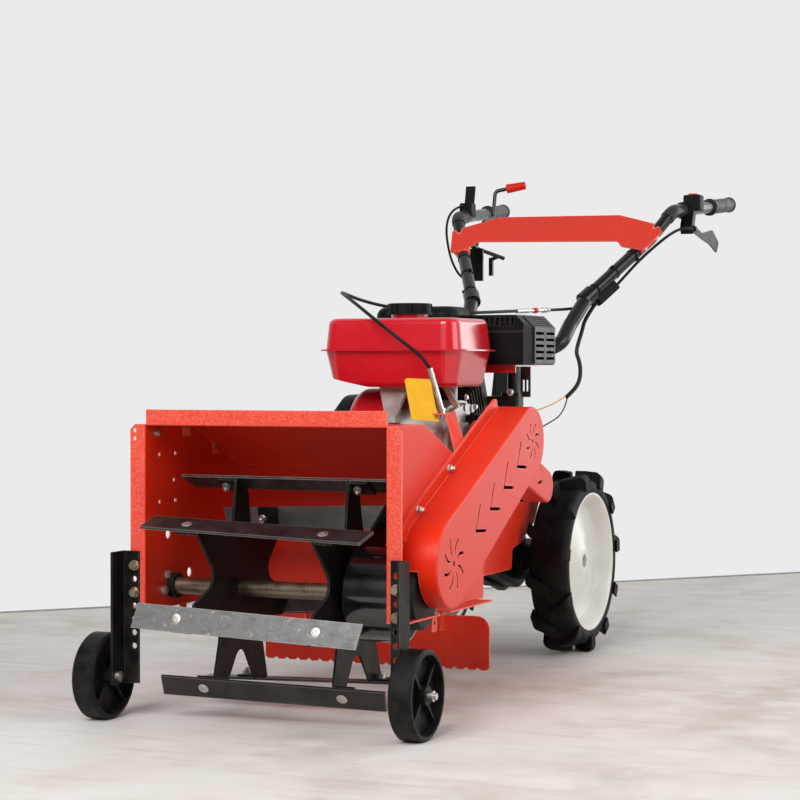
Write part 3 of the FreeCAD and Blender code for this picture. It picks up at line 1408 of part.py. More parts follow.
# ---- write the pieces ----
def main():
    os.makedirs("parts", exist_ok=True)
    wall = chamber_side()
    case_hole = rod_x(wall_in - 1, wall_out + gear_case_out, rotor_y, rotor_z, gear_case_r)
    bearing_hole = rod_x(wall_in - 1, wall_out + 1, rotor_y, rotor_z, bearing_r)
    hood = chamber_hood()
    crankcase = engine_block()
    tank = fuel_tank()
    gear_box = gearbox()
    lower = handlebar_lower()
    left_tube = handlebar_upper(-1, lower)
    right_tube = handlebar_upper(1, lower)
    tubes = [lower, left_tube, right_tube]
    sleeves = [handle_sleeve(-1, left_tube), handle_sleeve(1, right_tube)]
    shift = shift_lever([left_tube, sleeves[0]])
    lever = clutch_lever([right_tube, sleeves[1]])
    cylinder = engine_cylinder(crankcase)
    nodes = {
        "chamber_right_side": wall.cut(case_hole),
        "chamber_left_side": mirrored(wall).cut([mirrored(bearing_hole)] + wall_holes()),
        "chamber_hood": hood,
        "chamber_back": chamber_back(hood),
        "gauge_wheel_brackets": both_sides(wheel_bracket()),
        "gauge_wheel_bolts": both_sides(gauge_bolt()),
        "gauge_wheel_left": mirrored(gauge_wheel()),
        "gauge_wheel_right": gauge_wheel(),
        "rotor_plates": Part.makeCompound([rotor_plate(-1), rotor_plate(1)]),
        "rotor_blades": rotor_blades(),
        "rotor_shaft": rotor_shaft(),
        "rotor_drum": rotor_drum(),
        "rotor_bearing": rotor_bearing(),
        "rotor_gear_case": gear_case(),
        "belt_back_plate": belt_back_plate(case_hole),
        "belt_cover": belt_cover(),
        "rear_belt_cover": rear_belt_cover(),
        "frame_rails": both_sides(frame_rail()),
        "engine_plate": engine_plate(),
        "engine_block": crankcase,
        "engine_cylinder": cylinder,
        "fan_cover": fan_cover(),
        "recoil_starter": recoil_starter(),
        "fuel_tank": tank,
        "tank_legs": tank_legs(crankcase, tank),
        "fuel_cap": fuel_cap(),
        "muffler_guard": muffler_guard(),
        "muffler_plate": muffler_plate(),
        "muffler_shroud": muffler_shroud(),
        "muffler_bracket": muffler_bracket(),
        "exhaust_pipe": exhaust_pipe(),
        "carburettor": carburettor(cylinder),
        "air_cleaner": air_cleaner(),
        "gearbox": gear_box,
        "drive_axle": drive_axle(),
        "drive_tyre_left": mirrored(drive_tyre()),
        "drive_tyre_right": drive_tyre(),
        "drive_rims": both_sides(drive_rim()),
        "handlebar_lower": lower,
        "handlebar_column": handlebar_column(gear_box, lower),
        "handlebar_upper_tubes": Part.makeCompound([left_tube, right_tube]),
        "handlebar_brace": handlebar_brace(tubes),
        "handle_sleeves": Part.makeCompound(sleeves),
        "handlebar_grips": Part.makeCompound([grip(-1, left_tube), grip(1, right_tube)]),
        "lever_boxes": lever_boxes(right_tube, [right_tube, sleeves[1], lever]),
        "clutch_lever": lever,
        "throttle_lever": throttle_lever([left_tube, sleeves[0]]),
        "shift_lever": shift,
        "shift_grip": shift_grip(shift),
        "cable_bracket": cable_bracket(),
        "cable_barrel": cable_barrel(),
        "rotor_clutch_cable": rotor_clutch_cable(),
        "throttle_cable": throttle_cable(),
        "engine_loom": engine_loom(),
        "engine_wire_yellow": yellow_wire(),
        "engine_wire_black": black_wire(),
        "tag": tag(),
        "scraper_flap": flap(),
        "flap_hangers": flap_hangers(),
    }
    for name, shape in nodes.items():
        shape.exportStep("parts/" + name + ".step")
        print(name, "solids", len(shape.Solids), "valid", shape.isValid(), "volume", round(shape.Volume))


main()
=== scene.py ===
import math

import bmesh
import bpy
from mathutils import Matrix, Vector


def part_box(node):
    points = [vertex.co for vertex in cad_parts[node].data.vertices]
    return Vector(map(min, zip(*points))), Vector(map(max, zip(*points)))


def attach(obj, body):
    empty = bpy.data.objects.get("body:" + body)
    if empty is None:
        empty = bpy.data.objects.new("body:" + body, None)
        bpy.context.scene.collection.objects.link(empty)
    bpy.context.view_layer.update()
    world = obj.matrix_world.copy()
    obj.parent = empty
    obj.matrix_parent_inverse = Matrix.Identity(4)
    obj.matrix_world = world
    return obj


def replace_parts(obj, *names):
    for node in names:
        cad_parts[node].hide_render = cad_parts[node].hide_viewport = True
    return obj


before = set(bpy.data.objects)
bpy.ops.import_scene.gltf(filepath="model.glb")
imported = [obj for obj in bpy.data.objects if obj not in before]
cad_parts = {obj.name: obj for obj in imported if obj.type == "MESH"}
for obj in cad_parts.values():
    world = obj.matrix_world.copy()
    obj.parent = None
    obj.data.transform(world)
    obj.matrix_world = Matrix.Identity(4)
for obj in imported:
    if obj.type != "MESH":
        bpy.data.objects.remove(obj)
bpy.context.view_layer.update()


view = {
    "place": (1.7734, -4.476, 0.6446),
    "heading": 23.3,       # degrees left of straight back
    "dip": 0.79,
    "lens": 97.5,
    "sensor": 36.0,
    "farClip": 60.0,
}


def addObject(name, data):
    made = bpy.data.objects.new(name, data)
    bpy.context.collection.objects.link(made)
    return made


def placeCamera():
    lens = bpy.data.cameras.new("viewCamera")
    lens.lens = view["lens"]
    lens.sensor_width = view["sensor"]
    lens.clip_end = view["farClip"]
    camera = addObject("viewCamera", lens)
    camera.location = view["place"]
    camera.rotation_euler = (math.radians(90 - view["dip"]), 0, math.radians(view["heading"]))
    bpy.context.scene.camera = camera


placeCamera()
print("camera placed")


# short ways to set one node: each value is a number, a colour or another node's socket
def feed(tree, socket, value):
    if isinstance(value, bpy.types.NodeSocket):
        tree.links.new(value, socket)
    else:
        socket.default_value = value


def noiseNode(tree, vector, scale, detail=3.0, roughness=0.55):
    noise = tree.nodes.new("ShaderNodeTexNoise")
    for label, value in (("Vector", vector), ("Scale", scale), ("Detail", detail), ("Roughness", roughness)):
        feed(tree, noise.inputs[label], value)
    return noise.outputs["Fac"]


def rangeNode(tree, value, low, high, outLow=0.0, outHigh=1.0):
    node = tree.nodes.new("ShaderNodeMapRange")
    for label, number in (("Value", value), ("From Min", low), ("From Max", high),
                          ("To Min", outLow), ("To Max", outHigh)):
        feed(tree, node.inputs[label], number)
    return node.outputs["Result"]


def mathNode(tree, operation, a, b=0.0):
    node = tree.nodes.new("ShaderNodeMath")
    node.operation = operation
    feed(tree, node.inputs[0], a)
    feed(tree, node.inputs[1], b)
    return node.outputs["Value"]


def vectorNode(tree, operation, a, b, output):
    node = tree.nodes.new("ShaderNodeVectorMath")
    node.operation = operation
    feed(tree, node.inputs[0], a)
    feed(tree, node.inputs[1], b)
    return node.outputs[output]


def splitNode(tree, vector):
    node = tree.nodes.new("ShaderNodeSeparateXYZ")
    tree.links.new(vector, node.inputs["Vector"])
    return node.outputs


def mixColour(tree, mask, a, b):
    node = tree.nodes.new("ShaderNodeMix")
    node.data_type = "RGBA"
    for socket, value in zip((node.inputs[0], node.inputs[6], node.inputs[7]), (mask, a, b)):
        feed(tree, socket, value)
    return node.outputs[2]


# shared node groups for the finishes; they give only colours, masks, values and normals
def newGroup(name, inputs, outputs):
    group = bpy.data.node_groups.new(name, "ShaderNodeTree")
    group.interface.new_socket("Vector", in_out="INPUT", socket_type="NodeSocketVector")
    for label, kind, value in inputs:
        socket = group.interface.new_socket(label, in_out="INPUT", socket_type="NodeSocket" + kind)
        if value is not None:
            socket.default_value = value
    for label, kind in outputs:
        group.interface.new_socket(label, in_out="OUTPUT", socket_type="NodeSocket" + kind)
    return group, group.nodes.new("NodeGroupInput").outputs, group.nodes.new("NodeGroupOutput").inputs


def makeGrainGroup():
    # fine bumps of a coating or casting
    group, entry, out = newGroup("coatGrain", [("Scale", "Float", 600.0), ("Depth", "Float", 0.2)],
                                 [("Normal", "Vector"), ("Height", "Float")])
    fine = noiseNode(group, entry["Vector"], entry["Scale"], 2.0)
    bump = group.nodes.new("ShaderNodeBump")
    for label, value in (("Distance", 0.001), ("Strength", entry["Depth"]), ("Height", fine)):
        feed(group, bump.inputs[label], value)
    group.links.new(bump.outputs["Normal"], out["Normal"])
    group.links.new(fine, out["Height"])
    return group


def makeDriftGroup():
    # slow drift between two close colours
    group, entry, out = newGroup("colourDrift", [("Scale", "Float", 9.0), ("First", "Color", None),
                                                 ("Second", "Color", None)],
                                 [("Color", "Color"), ("Mask", "Float")])
    mask = rangeNode(group, noiseNode(group, entry["Vector"], entry["Scale"], 4.0), 0.35, 0.65)
    group.links.new(mixColour(group, mask, entry["First"], entry["Second"]), out["Color"])
    group.links.new(mask, out["Mask"])
    return group


def makeDustGroup():
    # dust that gathers low down and in patches
    group, entry, out = newGroup("lowDust", [("Top", "Float", 0.3), ("Scale", "Float", 30.0)],
                                 [("Mask", "Float")])
    height = rangeNode(group, splitNode(group, entry["Vector"])["Z"], 0.0, entry["Top"], 1.0, 0.0)
    patch = rangeNode(group, noiseNode(group, entry["Vector"], entry["Scale"], 5.0), 0.38, 0.72)
    group.links.new(mathNode(group, "MULTIPLY", height, patch), out["Mask"])
    return group


def makeRustGroup():
    # blooms of rust, with flecks of two browns
    group, entry, out = newGroup("rustBloom", [("Scale", "Float", 40.0), ("Least", "Float", 0.62)],
                                 [("Color", "Color"), ("Mask", "Float")])
    patch = noiseNode(group, entry["Vector"], entry["Scale"], 8.0, 0.65)
    most = mathNode(group, "ADD", entry["Least"], 0.1)
    fleck = noiseNode(group, entry["Vector"], 420.0, 2.0)
    group.links.new(rangeNode(group, patch, entry["Least"], most), out["Mask"])
    brown = mixColour(group, fleck, (0.09, 0.028, 0.010, 1), (0.27, 0.105, 0.035, 1))
    group.links.new(brown, out["Color"])
    return group


def makeScratchGroup():
    # long thin marks along one direction, from stretched noise
    group, entry, out = newGroup("dragMarks", [("Stretch", "Vector", (6.0, 260.0, 260.0)),
                                               ("Least", "Float", 0.6)], [("Mask", "Float")])
    stretched = vectorNode(group, "MULTIPLY", entry["Vector"], entry["Stretch"], "Vector")
    most = mathNode(group, "ADD", entry["Least"], 0.12)
    marks = noiseNode(group, stretched, 1.0, 4.0)
    group.links.new(rangeNode(group, marks, entry["Least"], most), out["Mask"])
    return group


finishGroups = {
    "grain": makeGrainGroup(),
    "drift": makeDriftGroup(),
    "dust": makeDustGroup(),
    "rust": makeRustGroup(),
    "scratch": makeScratchGroup(),
}


class Finish:
    # one Principled material, built up in layers over two drifting colours
    def __init__(self, name, roughness=0.5, metallic=0.0):
        self.material = bpy.data.materials.new(name)
        self.material.use_nodes = True
        self.tree = self.material.node_tree
        self.shader = self.tree.nodes["Principled BSDF"]
        self.shader.inputs["Roughness"].default_value = roughness
        self.shader.inputs["Metallic"].default_value = metallic
        self.coords = self.tree.nodes.new("ShaderNodeTexCoord").outputs
        self.colour = None

    def group(self, kind, **values):
        node = self.tree.nodes.new("ShaderNodeGroup")
        node.node_tree = finishGroups[kind]
        self.tree.links.new(self.coords["Object"], node.inputs["Vector"])
        for label, value in values.items():
            node.inputs[label].default_value = value
        return node.outputs

    def drift(self, first, second, scale):
        outputs = self.group("drift", Scale=scale, First=(*first, 1), Second=(*second, 1))
        self.colour = outputs["Color"]
        return outputs["Mask"]

    def grain(self, scale, depth):
        outputs = self.group("grain", Scale=scale, Depth=depth)
        self.tree.links.new(outputs["Normal"], self.shader.inputs["Normal"])
        return outputs["Height"]

    def edges(self, width):
        # where two faces meet at a bend or a cut edge
        bevel = self.tree.nodes.new("ShaderNodeBevel")
        bevel.samples = 4
        bevel.inputs["Radius"].default_value = width
        flat = self.tree.nodes.new("ShaderNodeNewGeometry")
        normals = bevel.outputs["Normal"], flat.outputs["Normal"]
        return rangeNode(self.tree, vectorNode(self.tree, "DOT_PRODUCT", *normals, "Value"), 0.985, 0.86)

    def glints(self, scale):
        # painted highlight: bright specks only on the faces that look forward, where the front light falls
        ahead = rangeNode(self.tree, splitNode(self.tree, self.coords["Normal"])["Y"], -0.5, -0.9)
        glintNoise = noiseNode(self.tree, self.coords["Object"], scale, 6.0, 0.9)
        return mathNode(self.tree, "MULTIPLY", ahead, rangeNode(self.tree, glintNoise, 0.42, 0.62))

    def over(self, mask, colour, most=1.0, within=None):
        if within is not None:
            mask = mathNode(self.tree, "MULTIPLY", mask, within)
        if isinstance(colour, tuple):
            colour = (*colour, 1)
        self.colour = mixColour(self.tree, mathNode(self.tree, "MULTIPLY", mask, most), self.colour, colour)

    def layer(self, kind, values, colour, most, within=None):
        # a layer of dust, rust or scratches; without a colour, rust brings its own
        outputs = self.group(kind, **values)
        self.over(outputs["Mask"], colour or outputs["Color"], most, within)

    def roughen(self, mask, low, high):
        self.tree.links.new(rangeNode(self.tree, mask, 0.0, 1.0, low, high), self.shader.inputs["Roughness"])

    def done(self):
        self.tree.links.new(self.colour, self.shader.inputs["Base Color"])
        return self.material


# a finish is two close colours and how fast they drift, the grain's scale and depth, the range of
# roughness, settings of the shader, and layers: a kind, its values, a colour and how much of it
dustColour = (0.36, 0.31, 0.25)


def powder(grainDepth, paintedGlint=()):
    return {
        "colours": ((0.71, 0.022, 0.004), (0.76, 0.030, 0.007)), "drift": 7.0, "grain": (520.0, grainDepth),
        "rough": (0.31, 0.41), "shader": {"Specular IOR Level": 0.34},
        # the lighter red on the grain's peaks is a painted highlight
        "layers": [("height", (0.62, 0.8), (0.84, 0.13, 0.05), 0.24), *paintedGlint,
                   ("dust", {"Top": 0.34, "Scale": 26.0}, dustColour, 0.08),
                   ("scratch", {"Stretch": (40.0, 40.0, 400.0), "Least": 0.70}, (0.62, 0.20, 0.14), 0.25),
                   # the lighter red along edges and bends is a painted highlight
                   ("edges", 0.0032, (0.92, 0.30, 0.22), 0.75)],
    }


def blackCoat(low, grainDepth, dust, dustTop, shader):
    return {
        "colours": ((0.0035, 0.0035, 0.004), (0.008, 0.0078, 0.0078)), "drift": 14.0,
        "grain": (420.0, grainDepth), "rough": (low, low + 0.16), "shader": shader,
        "layers": [("dust", {"Top": dustTop, "Scale": 34.0}, dustColour, dust),
                   ("scratch", {"Stretch": (30.0, 300.0, 60.0), "Least": 0.68}, (0.12, 0.115, 0.11), 0.25),
                   ("edges", 0.0022, (0.16, 0.155, 0.15), 0.4)],
    }


def moulded(first, second, low=0.44, dust=0.0, dustTop=0.2):
    return {
        "colours": (first, second), "drift": 22.0, "grain": (900.0, 0.16), "rough": (low, low + 0.14),
        "shader": {"Specular IOR Level": 0.13},
        "layers": [("dust", {"Top": dustTop, "Scale": 44.0}, dustColour, dust)] if dust else [],
    }


def plated(first, second, low=0.30):
    return {"colours": (first, second), "drift": 60.0, "grain": (700.0, 0.10), "rough": (low, low + 0.18),
            "metal": 1.0}


finishes = {
    "redPowder": powder(0.40),
    # the hood and sides add a painted highlight: bright specks on their forward faces
    "redPowderCoarsePaintedGlints": powder(0.85, [("glints", 300.0, (0.93, 0.36, 0.27), 0.42)]),
    "tankEnamel": {
        "colours": ((0.56, 0.004, 0.014), (0.62, 0.007, 0.020)), "drift": 5.0, "grain": (160.0, 0.035),
        "rough": (0.14, 0.24), "shader": {"Coat Weight": 0.6, "Coat Roughness": 0.13},
        "layers": [("dust", {"Top": 1.4, "Scale": 60.0}, (0.75, 0.40, 0.38), 0.04)],
    },
    "blackPaint": blackCoat(0.34, 0.12, 0.07, 0.45, {"Specular IOR Level": 0.13}),
    "blackGloss": blackCoat(0.16, 0.03, 0.05, 0.5, {"Specular IOR Level": 0.45}),
    "drumEnamel": blackCoat(0.14, 0.01, 0.03, 0.3, {"Specular IOR Level": 0.5, "Coat Weight": 1.0,
                                                   "Coat Roughness": 0.09}),
    "blackPlastic": moulded((0.004, 0.004, 0.0045), (0.010, 0.0098, 0.0098), 0.44, 0.05, 0.25),
    "wheelPlastic": moulded((0.005, 0.005, 0.005), (0.012, 0.0117, 0.0115), 0.40, 0.05),
    # near-black for painted shade inside the belt cover and in the guard's holes
    "holeShadeBlack": moulded((0.002, 0.002, 0.002), (0.004, 0.004, 0.004), 0.9),
    "cableSheath": moulded((0.010, 0.010, 0.010), (0.020, 0.020, 0.020), 0.38),
    "yellowWire": moulded((0.75, 0.42, 0.02), (0.80, 0.50, 0.04), 0.4),
    "redGrip": moulded((0.62, 0.012, 0.008), (0.70, 0.022, 0.014), 0.34),
    "greySleeve": moulded((0.030, 0.031, 0.033), (0.050, 0.051, 0.053), 0.26),
    "zincPlate": plated((0.56, 0.55, 0.52), (0.70, 0.68, 0.62)),
    "zincWarm": plated((0.34, 0.29, 0.20), (0.48, 0.42, 0.31), 0.34),
    "darkSteel": plated((0.10, 0.098, 0.096), (0.17, 0.165, 0.16)),
    "castAlloy": {
        "colours": ((0.46, 0.45, 0.43), (0.62, 0.61, 0.59)), "drift": 24.0, "grain": (380.0, 0.30),
        "rough": (0.40, 0.56), "metal": 0.85,
        "layers": [("height", (0.30, 0.12), (0.22, 0.21, 0.20), 0.5),
                   ("rust", {"Scale": 26.0, "Least": 0.66}, (0.20, 0.18, 0.16), 0.4)],
    },
    "darkCasting": {
        "colours": ((0.010, 0.008, 0.007), (0.026, 0.021, 0.018)), "drift": 30.0, "grain": (360.0, 0.30),
        "rough": (0.42, 0.62), "metal": 0.2,
    },
    "turnedShaft": {           # brown bare steel, marked round and round by turning
        "colours": ((0.20, 0.155, 0.115), (0.34, 0.28, 0.215)), "drift": 18.0, "grain": (500.0, 0.12),
        "rough": (0.28, 0.44), "metal": 0.9,
        "layers": [("scratch", {"Stretch": (900.0, 14.0, 14.0), "Least": 0.52}, (0.17, 0.12, 0.085), 0.5),
                   ("rust", {"Scale": 30.0, "Least": 0.56}, None, 0.8)],
    },
    "rimEnamel": {
        "colours": ((0.72, 0.705, 0.66), (0.79, 0.775, 0.73)), "drift": 6.0, "grain": (120.0, 0.05),
        "rough": (0.28, 0.42), "shader": {"Coat Weight": 0.2},
        "layers": [("dust", {"Top": 0.42, "Scale": 38.0}, (0.45, 0.40, 0.33), 0.20),
                   ("rust", {"Scale": 55.0, "Least": 0.70}, (0.32, 0.20, 0.12), 0.35)],
    },
    "tyreRubber": {
        "colours": ((0.0045, 0.0045, 0.0048), (0.011, 0.0108, 0.0105)), "drift": 26.0, "grain": (520.0, 0.30),
        "rough": (0.46, 0.66), "shader": {"Specular IOR Level": 0.10},
        "layers": [("dust", {"Top": 0.30, "Scale": 30.0}, (0.20, 0.175, 0.145), 0.10)],
    },
    "gripRubber": {
        "colours": ((0.012, 0.012, 0.013), (0.026, 0.026, 0.027)), "drift": 34.0, "grain": (760.0, 0.28),
        "rough": (0.46, 0.62), "shader": {"Sheen Weight": 0.25, "Sheen Roughness": 0.4},
    },
    "tagCard": {
        "colours": ((0.90, 0.52, 0.012), (0.94, 0.60, 0.02)), "drift": 28.0, "grain": (300.0, 0.08),
        "rough": (0.42, 0.55),
    },
    "perforatedSteel": {
        "colours": ((0.022, 0.022, 0.024), (0.040, 0.039, 0.040)), "drift": 40.0, "grain": (500.0, 0.18),
        "rough": (0.34, 0.5), "metal": 0.4,
    },
}


def makeFinish(name, facts):
    finish = Finish(name, metallic=facts.get("metal", 0.0))
    slow = finish.drift(*facts["colours"], facts["drift"])
    height = finish.grain(*facts["grain"])
    for kind, values, colour, most in facts.get("layers", []):
        if kind == "height":          # the grain's own peaks or pits
            finish.over(rangeNode(finish.tree, height, *values), colour, most)
        elif kind == "edges":
            finish.over(finish.edges(values), colour, most)
        elif kind == "glints":
            finish.over(finish.glints(values), colour, most)
        else:
            finish.layer(kind, values, colour, most)
    finish.roughen(slow, *facts["rough"])
    for label, value in facts.get("shader", {}).items():
        finish.shader.inputs[label].default_value = value
    return finish.done()


rotorAxis = (0.0, -0.883, 0.238)

# the blades differ, told apart by their angle round the rotor's axis: the grey one by wear and rust, the
# bright one by wear and by a painted highlight
bladeWearAndLight = {
    "metal": 0.75,
    "dark": ((0.028, 0.025, 0.024), (0.060, 0.052, 0.048)),
    "grey": (0.22, 0.215, 0.21),
    "greyAt": 2.45,              # radians round the axis
    # the bright blade's colour is partly a painted highlight
    "bright": (0.27, 0.266, 0.262),
    "brightAt": -0.25,
    "reach": (0.42, 0.36),       # radians each side, to where it ends and to where it is full
    "smear": (0.085, 0.082, 0.080),
    "rough": (0.34, 0.58),
}


def bladeSteel():
    finish = Finish("bladeSteel", metallic=bladeWearAndLight["metal"])
    tree = finish.tree
    place = splitNode(tree, finish.coords["Object"])
    behind = mathNode(tree, "SUBTRACT", place["Y"], rotorAxis[1])
    above = mathNode(tree, "SUBTRACT", place["Z"], rotorAxis[2])
    angle = mathNode(tree, "ARCTAN2", above, mathNode(tree, "MULTIPLY", behind, -1.0))

    def near(at):
        off = mathNode(tree, "ABSOLUTE", mathNode(tree, "SUBTRACT", angle, at))
        return rangeNode(tree, off, *bladeWearAndLight["reach"])

    bright, upper = near(bladeWearAndLight["brightAt"]), near(bladeWearAndLight["greyAt"])
    wornAndLit = mathNode(tree, "MAXIMUM", bright, upper)
    finish.drift(*bladeWearAndLight["dark"], 16.0)
    finish.over(upper, bladeWearAndLight["grey"], 0.9)
    finish.over(bright, bladeWearAndLight["bright"], 0.9)
    # long pale marks, dark drag marks on the bright and the grey blade, smears, chips, bare edges and two
    # sorts of rust
    finish.layer("scratch", {"Stretch": (9.0, 120.0, 120.0), "Least": 0.60}, (0.42, 0.41, 0.40), 0.10)
    finish.layer("scratch", {"Stretch": (34.0, 120.0, 120.0), "Least": 0.54}, (0.095, 0.093, 0.090), 0.38,
                 wornAndLit)
    smear = finish.group("drift", Scale=30.0)["Mask"]
    finish.over(smear, bladeWearAndLight["smear"], 0.28)
    finish.layer("rust", {"Scale": 90.0, "Least": 0.60}, (0.72, 0.71, 0.70), 0.6, bright)
    finish.over(finish.edges(0.0028), (0.50, 0.49, 0.48), 0.6)
    finish.layer("rust", {"Scale": 22.0, "Least": 0.60}, (0.34, 0.19, 0.08), 0.75, upper)
    finish.layer("rust", {"Scale": 40.0, "Least": 0.63}, None, 0.7)
    finish.grain(300.0, 0.22)
    finish.roughen(smear, *bladeWearAndLight["rough"])
    return finish.done()


paint = {name: makeFinish(name, facts) for name, facts in finishes.items()}
paint["bladeSteel"] = bladeSteel()
print("finishes made:", len(paint))


# cables: the same routes as the tubes they stand for, in metres
cables = {
    "rotorClutchCable": {
        "node": "rotor_clutch_cable", "radius": 0.0035, "length": 1.737, "stiffness": "stiff",
        "finish": "cableSheath", "slot": "cable_black",
        "points": [
            (0.172, -0.612, 0.648), (0.160, -0.617, 0.668), (0.140, -0.624, 0.686), (0.114, -0.628, 0.705),
            (0.082, -0.625, 0.728), (0.038, -0.602, 0.754), (-0.010, -0.562, 0.778),
            (-0.055, -0.510, 0.795), (-0.093, -0.448, 0.804), (-0.114, -0.380, 0.803),
            (-0.114, -0.310, 0.793), (-0.094, -0.240, 0.782), (-0.055, -0.176, 0.774),
            (-0.005, -0.120, 0.770), (0.038, -0.050, 0.770), (0.060, 0.036, 0.774), (0.074, 0.126, 0.778),
            (0.088, 0.216, 0.781), (0.100, 0.305, 0.785), (0.114, 0.392, 0.789), (0.138, 0.452, 0.797),
            (0.168, 0.500, 0.819), (0.196, 0.544, 0.865), (0.227, 0.584, 0.912), (0.262, 0.622, 0.953),
            (0.288, 0.656, 0.981), (0.306, 0.686, 0.993), (0.317, 0.706, 0.994), (0.321, 0.722, 0.991)],
    },
    "throttleCable": {
        "node": "throttle_cable", "radius": 0.003, "length": 1.186, "stiffness": "stiff",
        "finish": "cableSheath", "slot": "cable_black",
        "points": [
            (-0.292, 0.728, 1.068), (-0.301, 0.704, 1.062), (-0.309, 0.674, 1.040), (-0.303, 0.642, 1.004),
            (-0.288, 0.614, 0.966), (-0.272, 0.598, 0.924), (-0.245, 0.578, 0.886), (-0.213, 0.554, 0.868),
            (-0.180, 0.520, 0.852), (-0.155, 0.486, 0.830), (-0.143, 0.458, 0.807), (-0.148, 0.428, 0.785),
            (-0.164, 0.384, 0.763), (-0.166, 0.330, 0.744), (-0.156, 0.264, 0.724), (-0.138, 0.196, 0.706),
            (-0.114, 0.128, 0.692), (-0.090, 0.058, 0.678), (-0.066, -0.014, 0.662), (-0.044, -0.086, 0.644),
            (-0.026, -0.150, 0.622), (-0.012, -0.196, 0.600), (-0.008, -0.229, 0.592)],
    },
    "engineLoom": {
        "node": "engine_loom", "radius": 0.00475, "length": 0.393, "stiffness": "medium",
        "finish": "cableSheath", "slot": "cable_black",
        "points": [
            (0.161, 0.452, 0.807), (0.143, 0.420, 0.768), (0.147, 0.384, 0.735), (0.150, 0.344, 0.703),
            (0.160, 0.304, 0.684), (0.178, 0.268, 0.670), (0.194, 0.234, 0.650), (0.203, 0.204, 0.624),
            (0.201, 0.176, 0.602), (0.189, 0.150, 0.584)],
    },
    "yellowWire": {
        "node": "engine_wire_yellow", "radius": 0.0015, "length": 0.505, "stiffness": "medium",
        "finish": "yellowWire", "slot": "wire_yellow",
        "points": [
            (0.187, 0.150, 0.586), (0.183, 0.104, 0.574), (0.176, 0.058, 0.564), (0.168, 0.008, 0.556),
            (0.162, -0.044, 0.546), (0.158, -0.098, 0.530), (0.155, -0.152, 0.512), (0.152, -0.206, 0.496),
            (0.150, -0.258, 0.482), (0.147, -0.300, 0.474), (0.146, -0.338, 0.470)],
    },
    "blackWire": {
        "node": "engine_wire_black", "radius": 0.0015, "length": 0.516, "stiffness": "medium",
        "finish": "cableSheath", "slot": "cable_black",
        "points": [
            (0.191, 0.150, 0.582), (0.194, 0.126, 0.562), (0.193, 0.088, 0.541), (0.186, 0.046, 0.529),
            (0.176, 0.000, 0.516), (0.166, -0.048, 0.506), (0.156, -0.098, 0.494), (0.148, -0.150, 0.482),
            (0.142, -0.202, 0.470), (0.138, -0.252, 0.460), (0.135, -0.298, 0.452), (0.134, -0.338, 0.450)],
    },
}


def makeCable(name, facts):
    curve = bpy.data.curves.new(name, "CURVE")
    curve.dimensions = "3D"
    spline = curve.splines.new("NURBS")
    spline.points.add(len(facts["points"]) - 1)
    for point, place in zip(spline.points, facts["points"]):
        point.co = (*place, 1)
    spline.order_u = 3
    spline.use_endpoint_u = True
    spline.resolution_u = 10
    curve.bevel_depth = facts["radius"]
    curve.bevel_resolution = 5
    curve.use_fill_caps = True
    curve.materials.append(paint[facts["finish"]])
    line = addObject(name, curve)
    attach(line, "machine")
    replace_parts(line, facts["node"])


for cableName, cableFacts in cables.items():
    makeCable(cableName, cableFacts)
print("cables made:", len(cables))


# which finish each CAD node wears
wearing = {
    "redPowderCoarsePaintedGlints": ["chamber_hood", "chamber_left_side", "chamber_right_side"],
    "redPowder": ["chamber_back", "belt_back_plate", "belt_cover", "rear_belt_cover", "frame_rails",
                  "engine_plate", "handlebar_brace", "cable_bracket", "scraper_flap", "flap_hangers"],
    "tankEnamel": ["fuel_tank", "fan_cover", "muffler_shroud"],
    "blackPaint": ["gauge_wheel_brackets", "rotor_plates", "rotor_bearing", "rotor_gear_case", "gearbox",
                   "muffler_guard", "handlebar_column", "clutch_lever"],
    "blackGloss": ["handlebar_lower", "handlebar_upper_tubes", "exhaust_pipe", "shift_lever"],
    "drumEnamel": ["rotor_drum"],
    "blackPlastic": ["air_cleaner", "recoil_starter", "fuel_cap", "lever_boxes", "throttle_lever"],
    "wheelPlastic": ["gauge_wheel_left", "gauge_wheel_right"],
    "zincPlate": ["gauge_wheel_bolts", "cable_barrel"],
    "castAlloy": ["engine_block", "carburettor", "tank_legs"],
    "darkCasting": ["engine_cylinder"],
    "turnedShaft": ["rotor_shaft", "drive_axle"],
    "bladeSteel": ["rotor_blades"],
    "rimEnamel": ["drive_rims"],
    "tyreRubber": ["drive_tyre_left", "drive_tyre_right"],
    "gripRubber": ["handlebar_grips"],
    "greySleeve": ["handle_sleeves"],
    "darkSteel": ["muffler_bracket"],
    "redGrip": ["shift_grip"],
    "perforatedSteel": ["muffler_plate"],
    "tagCard": ["tag"],
}


def dressNodes():
    for finish, names in wearing.items():
        for name in names:
            for slot in bpy.data.objects[name].material_slots:
                slot.material = paint[finish]
    dressed = {name for names in wearing.values() for name in names}
    drawnAsCables = {facts["node"] for facts in cables.values()}
    left = sorted(set(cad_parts) - dressed - drawnAsCables)
    print("nodes dressed:", len(dressed), "left:", left)


dressNodes()


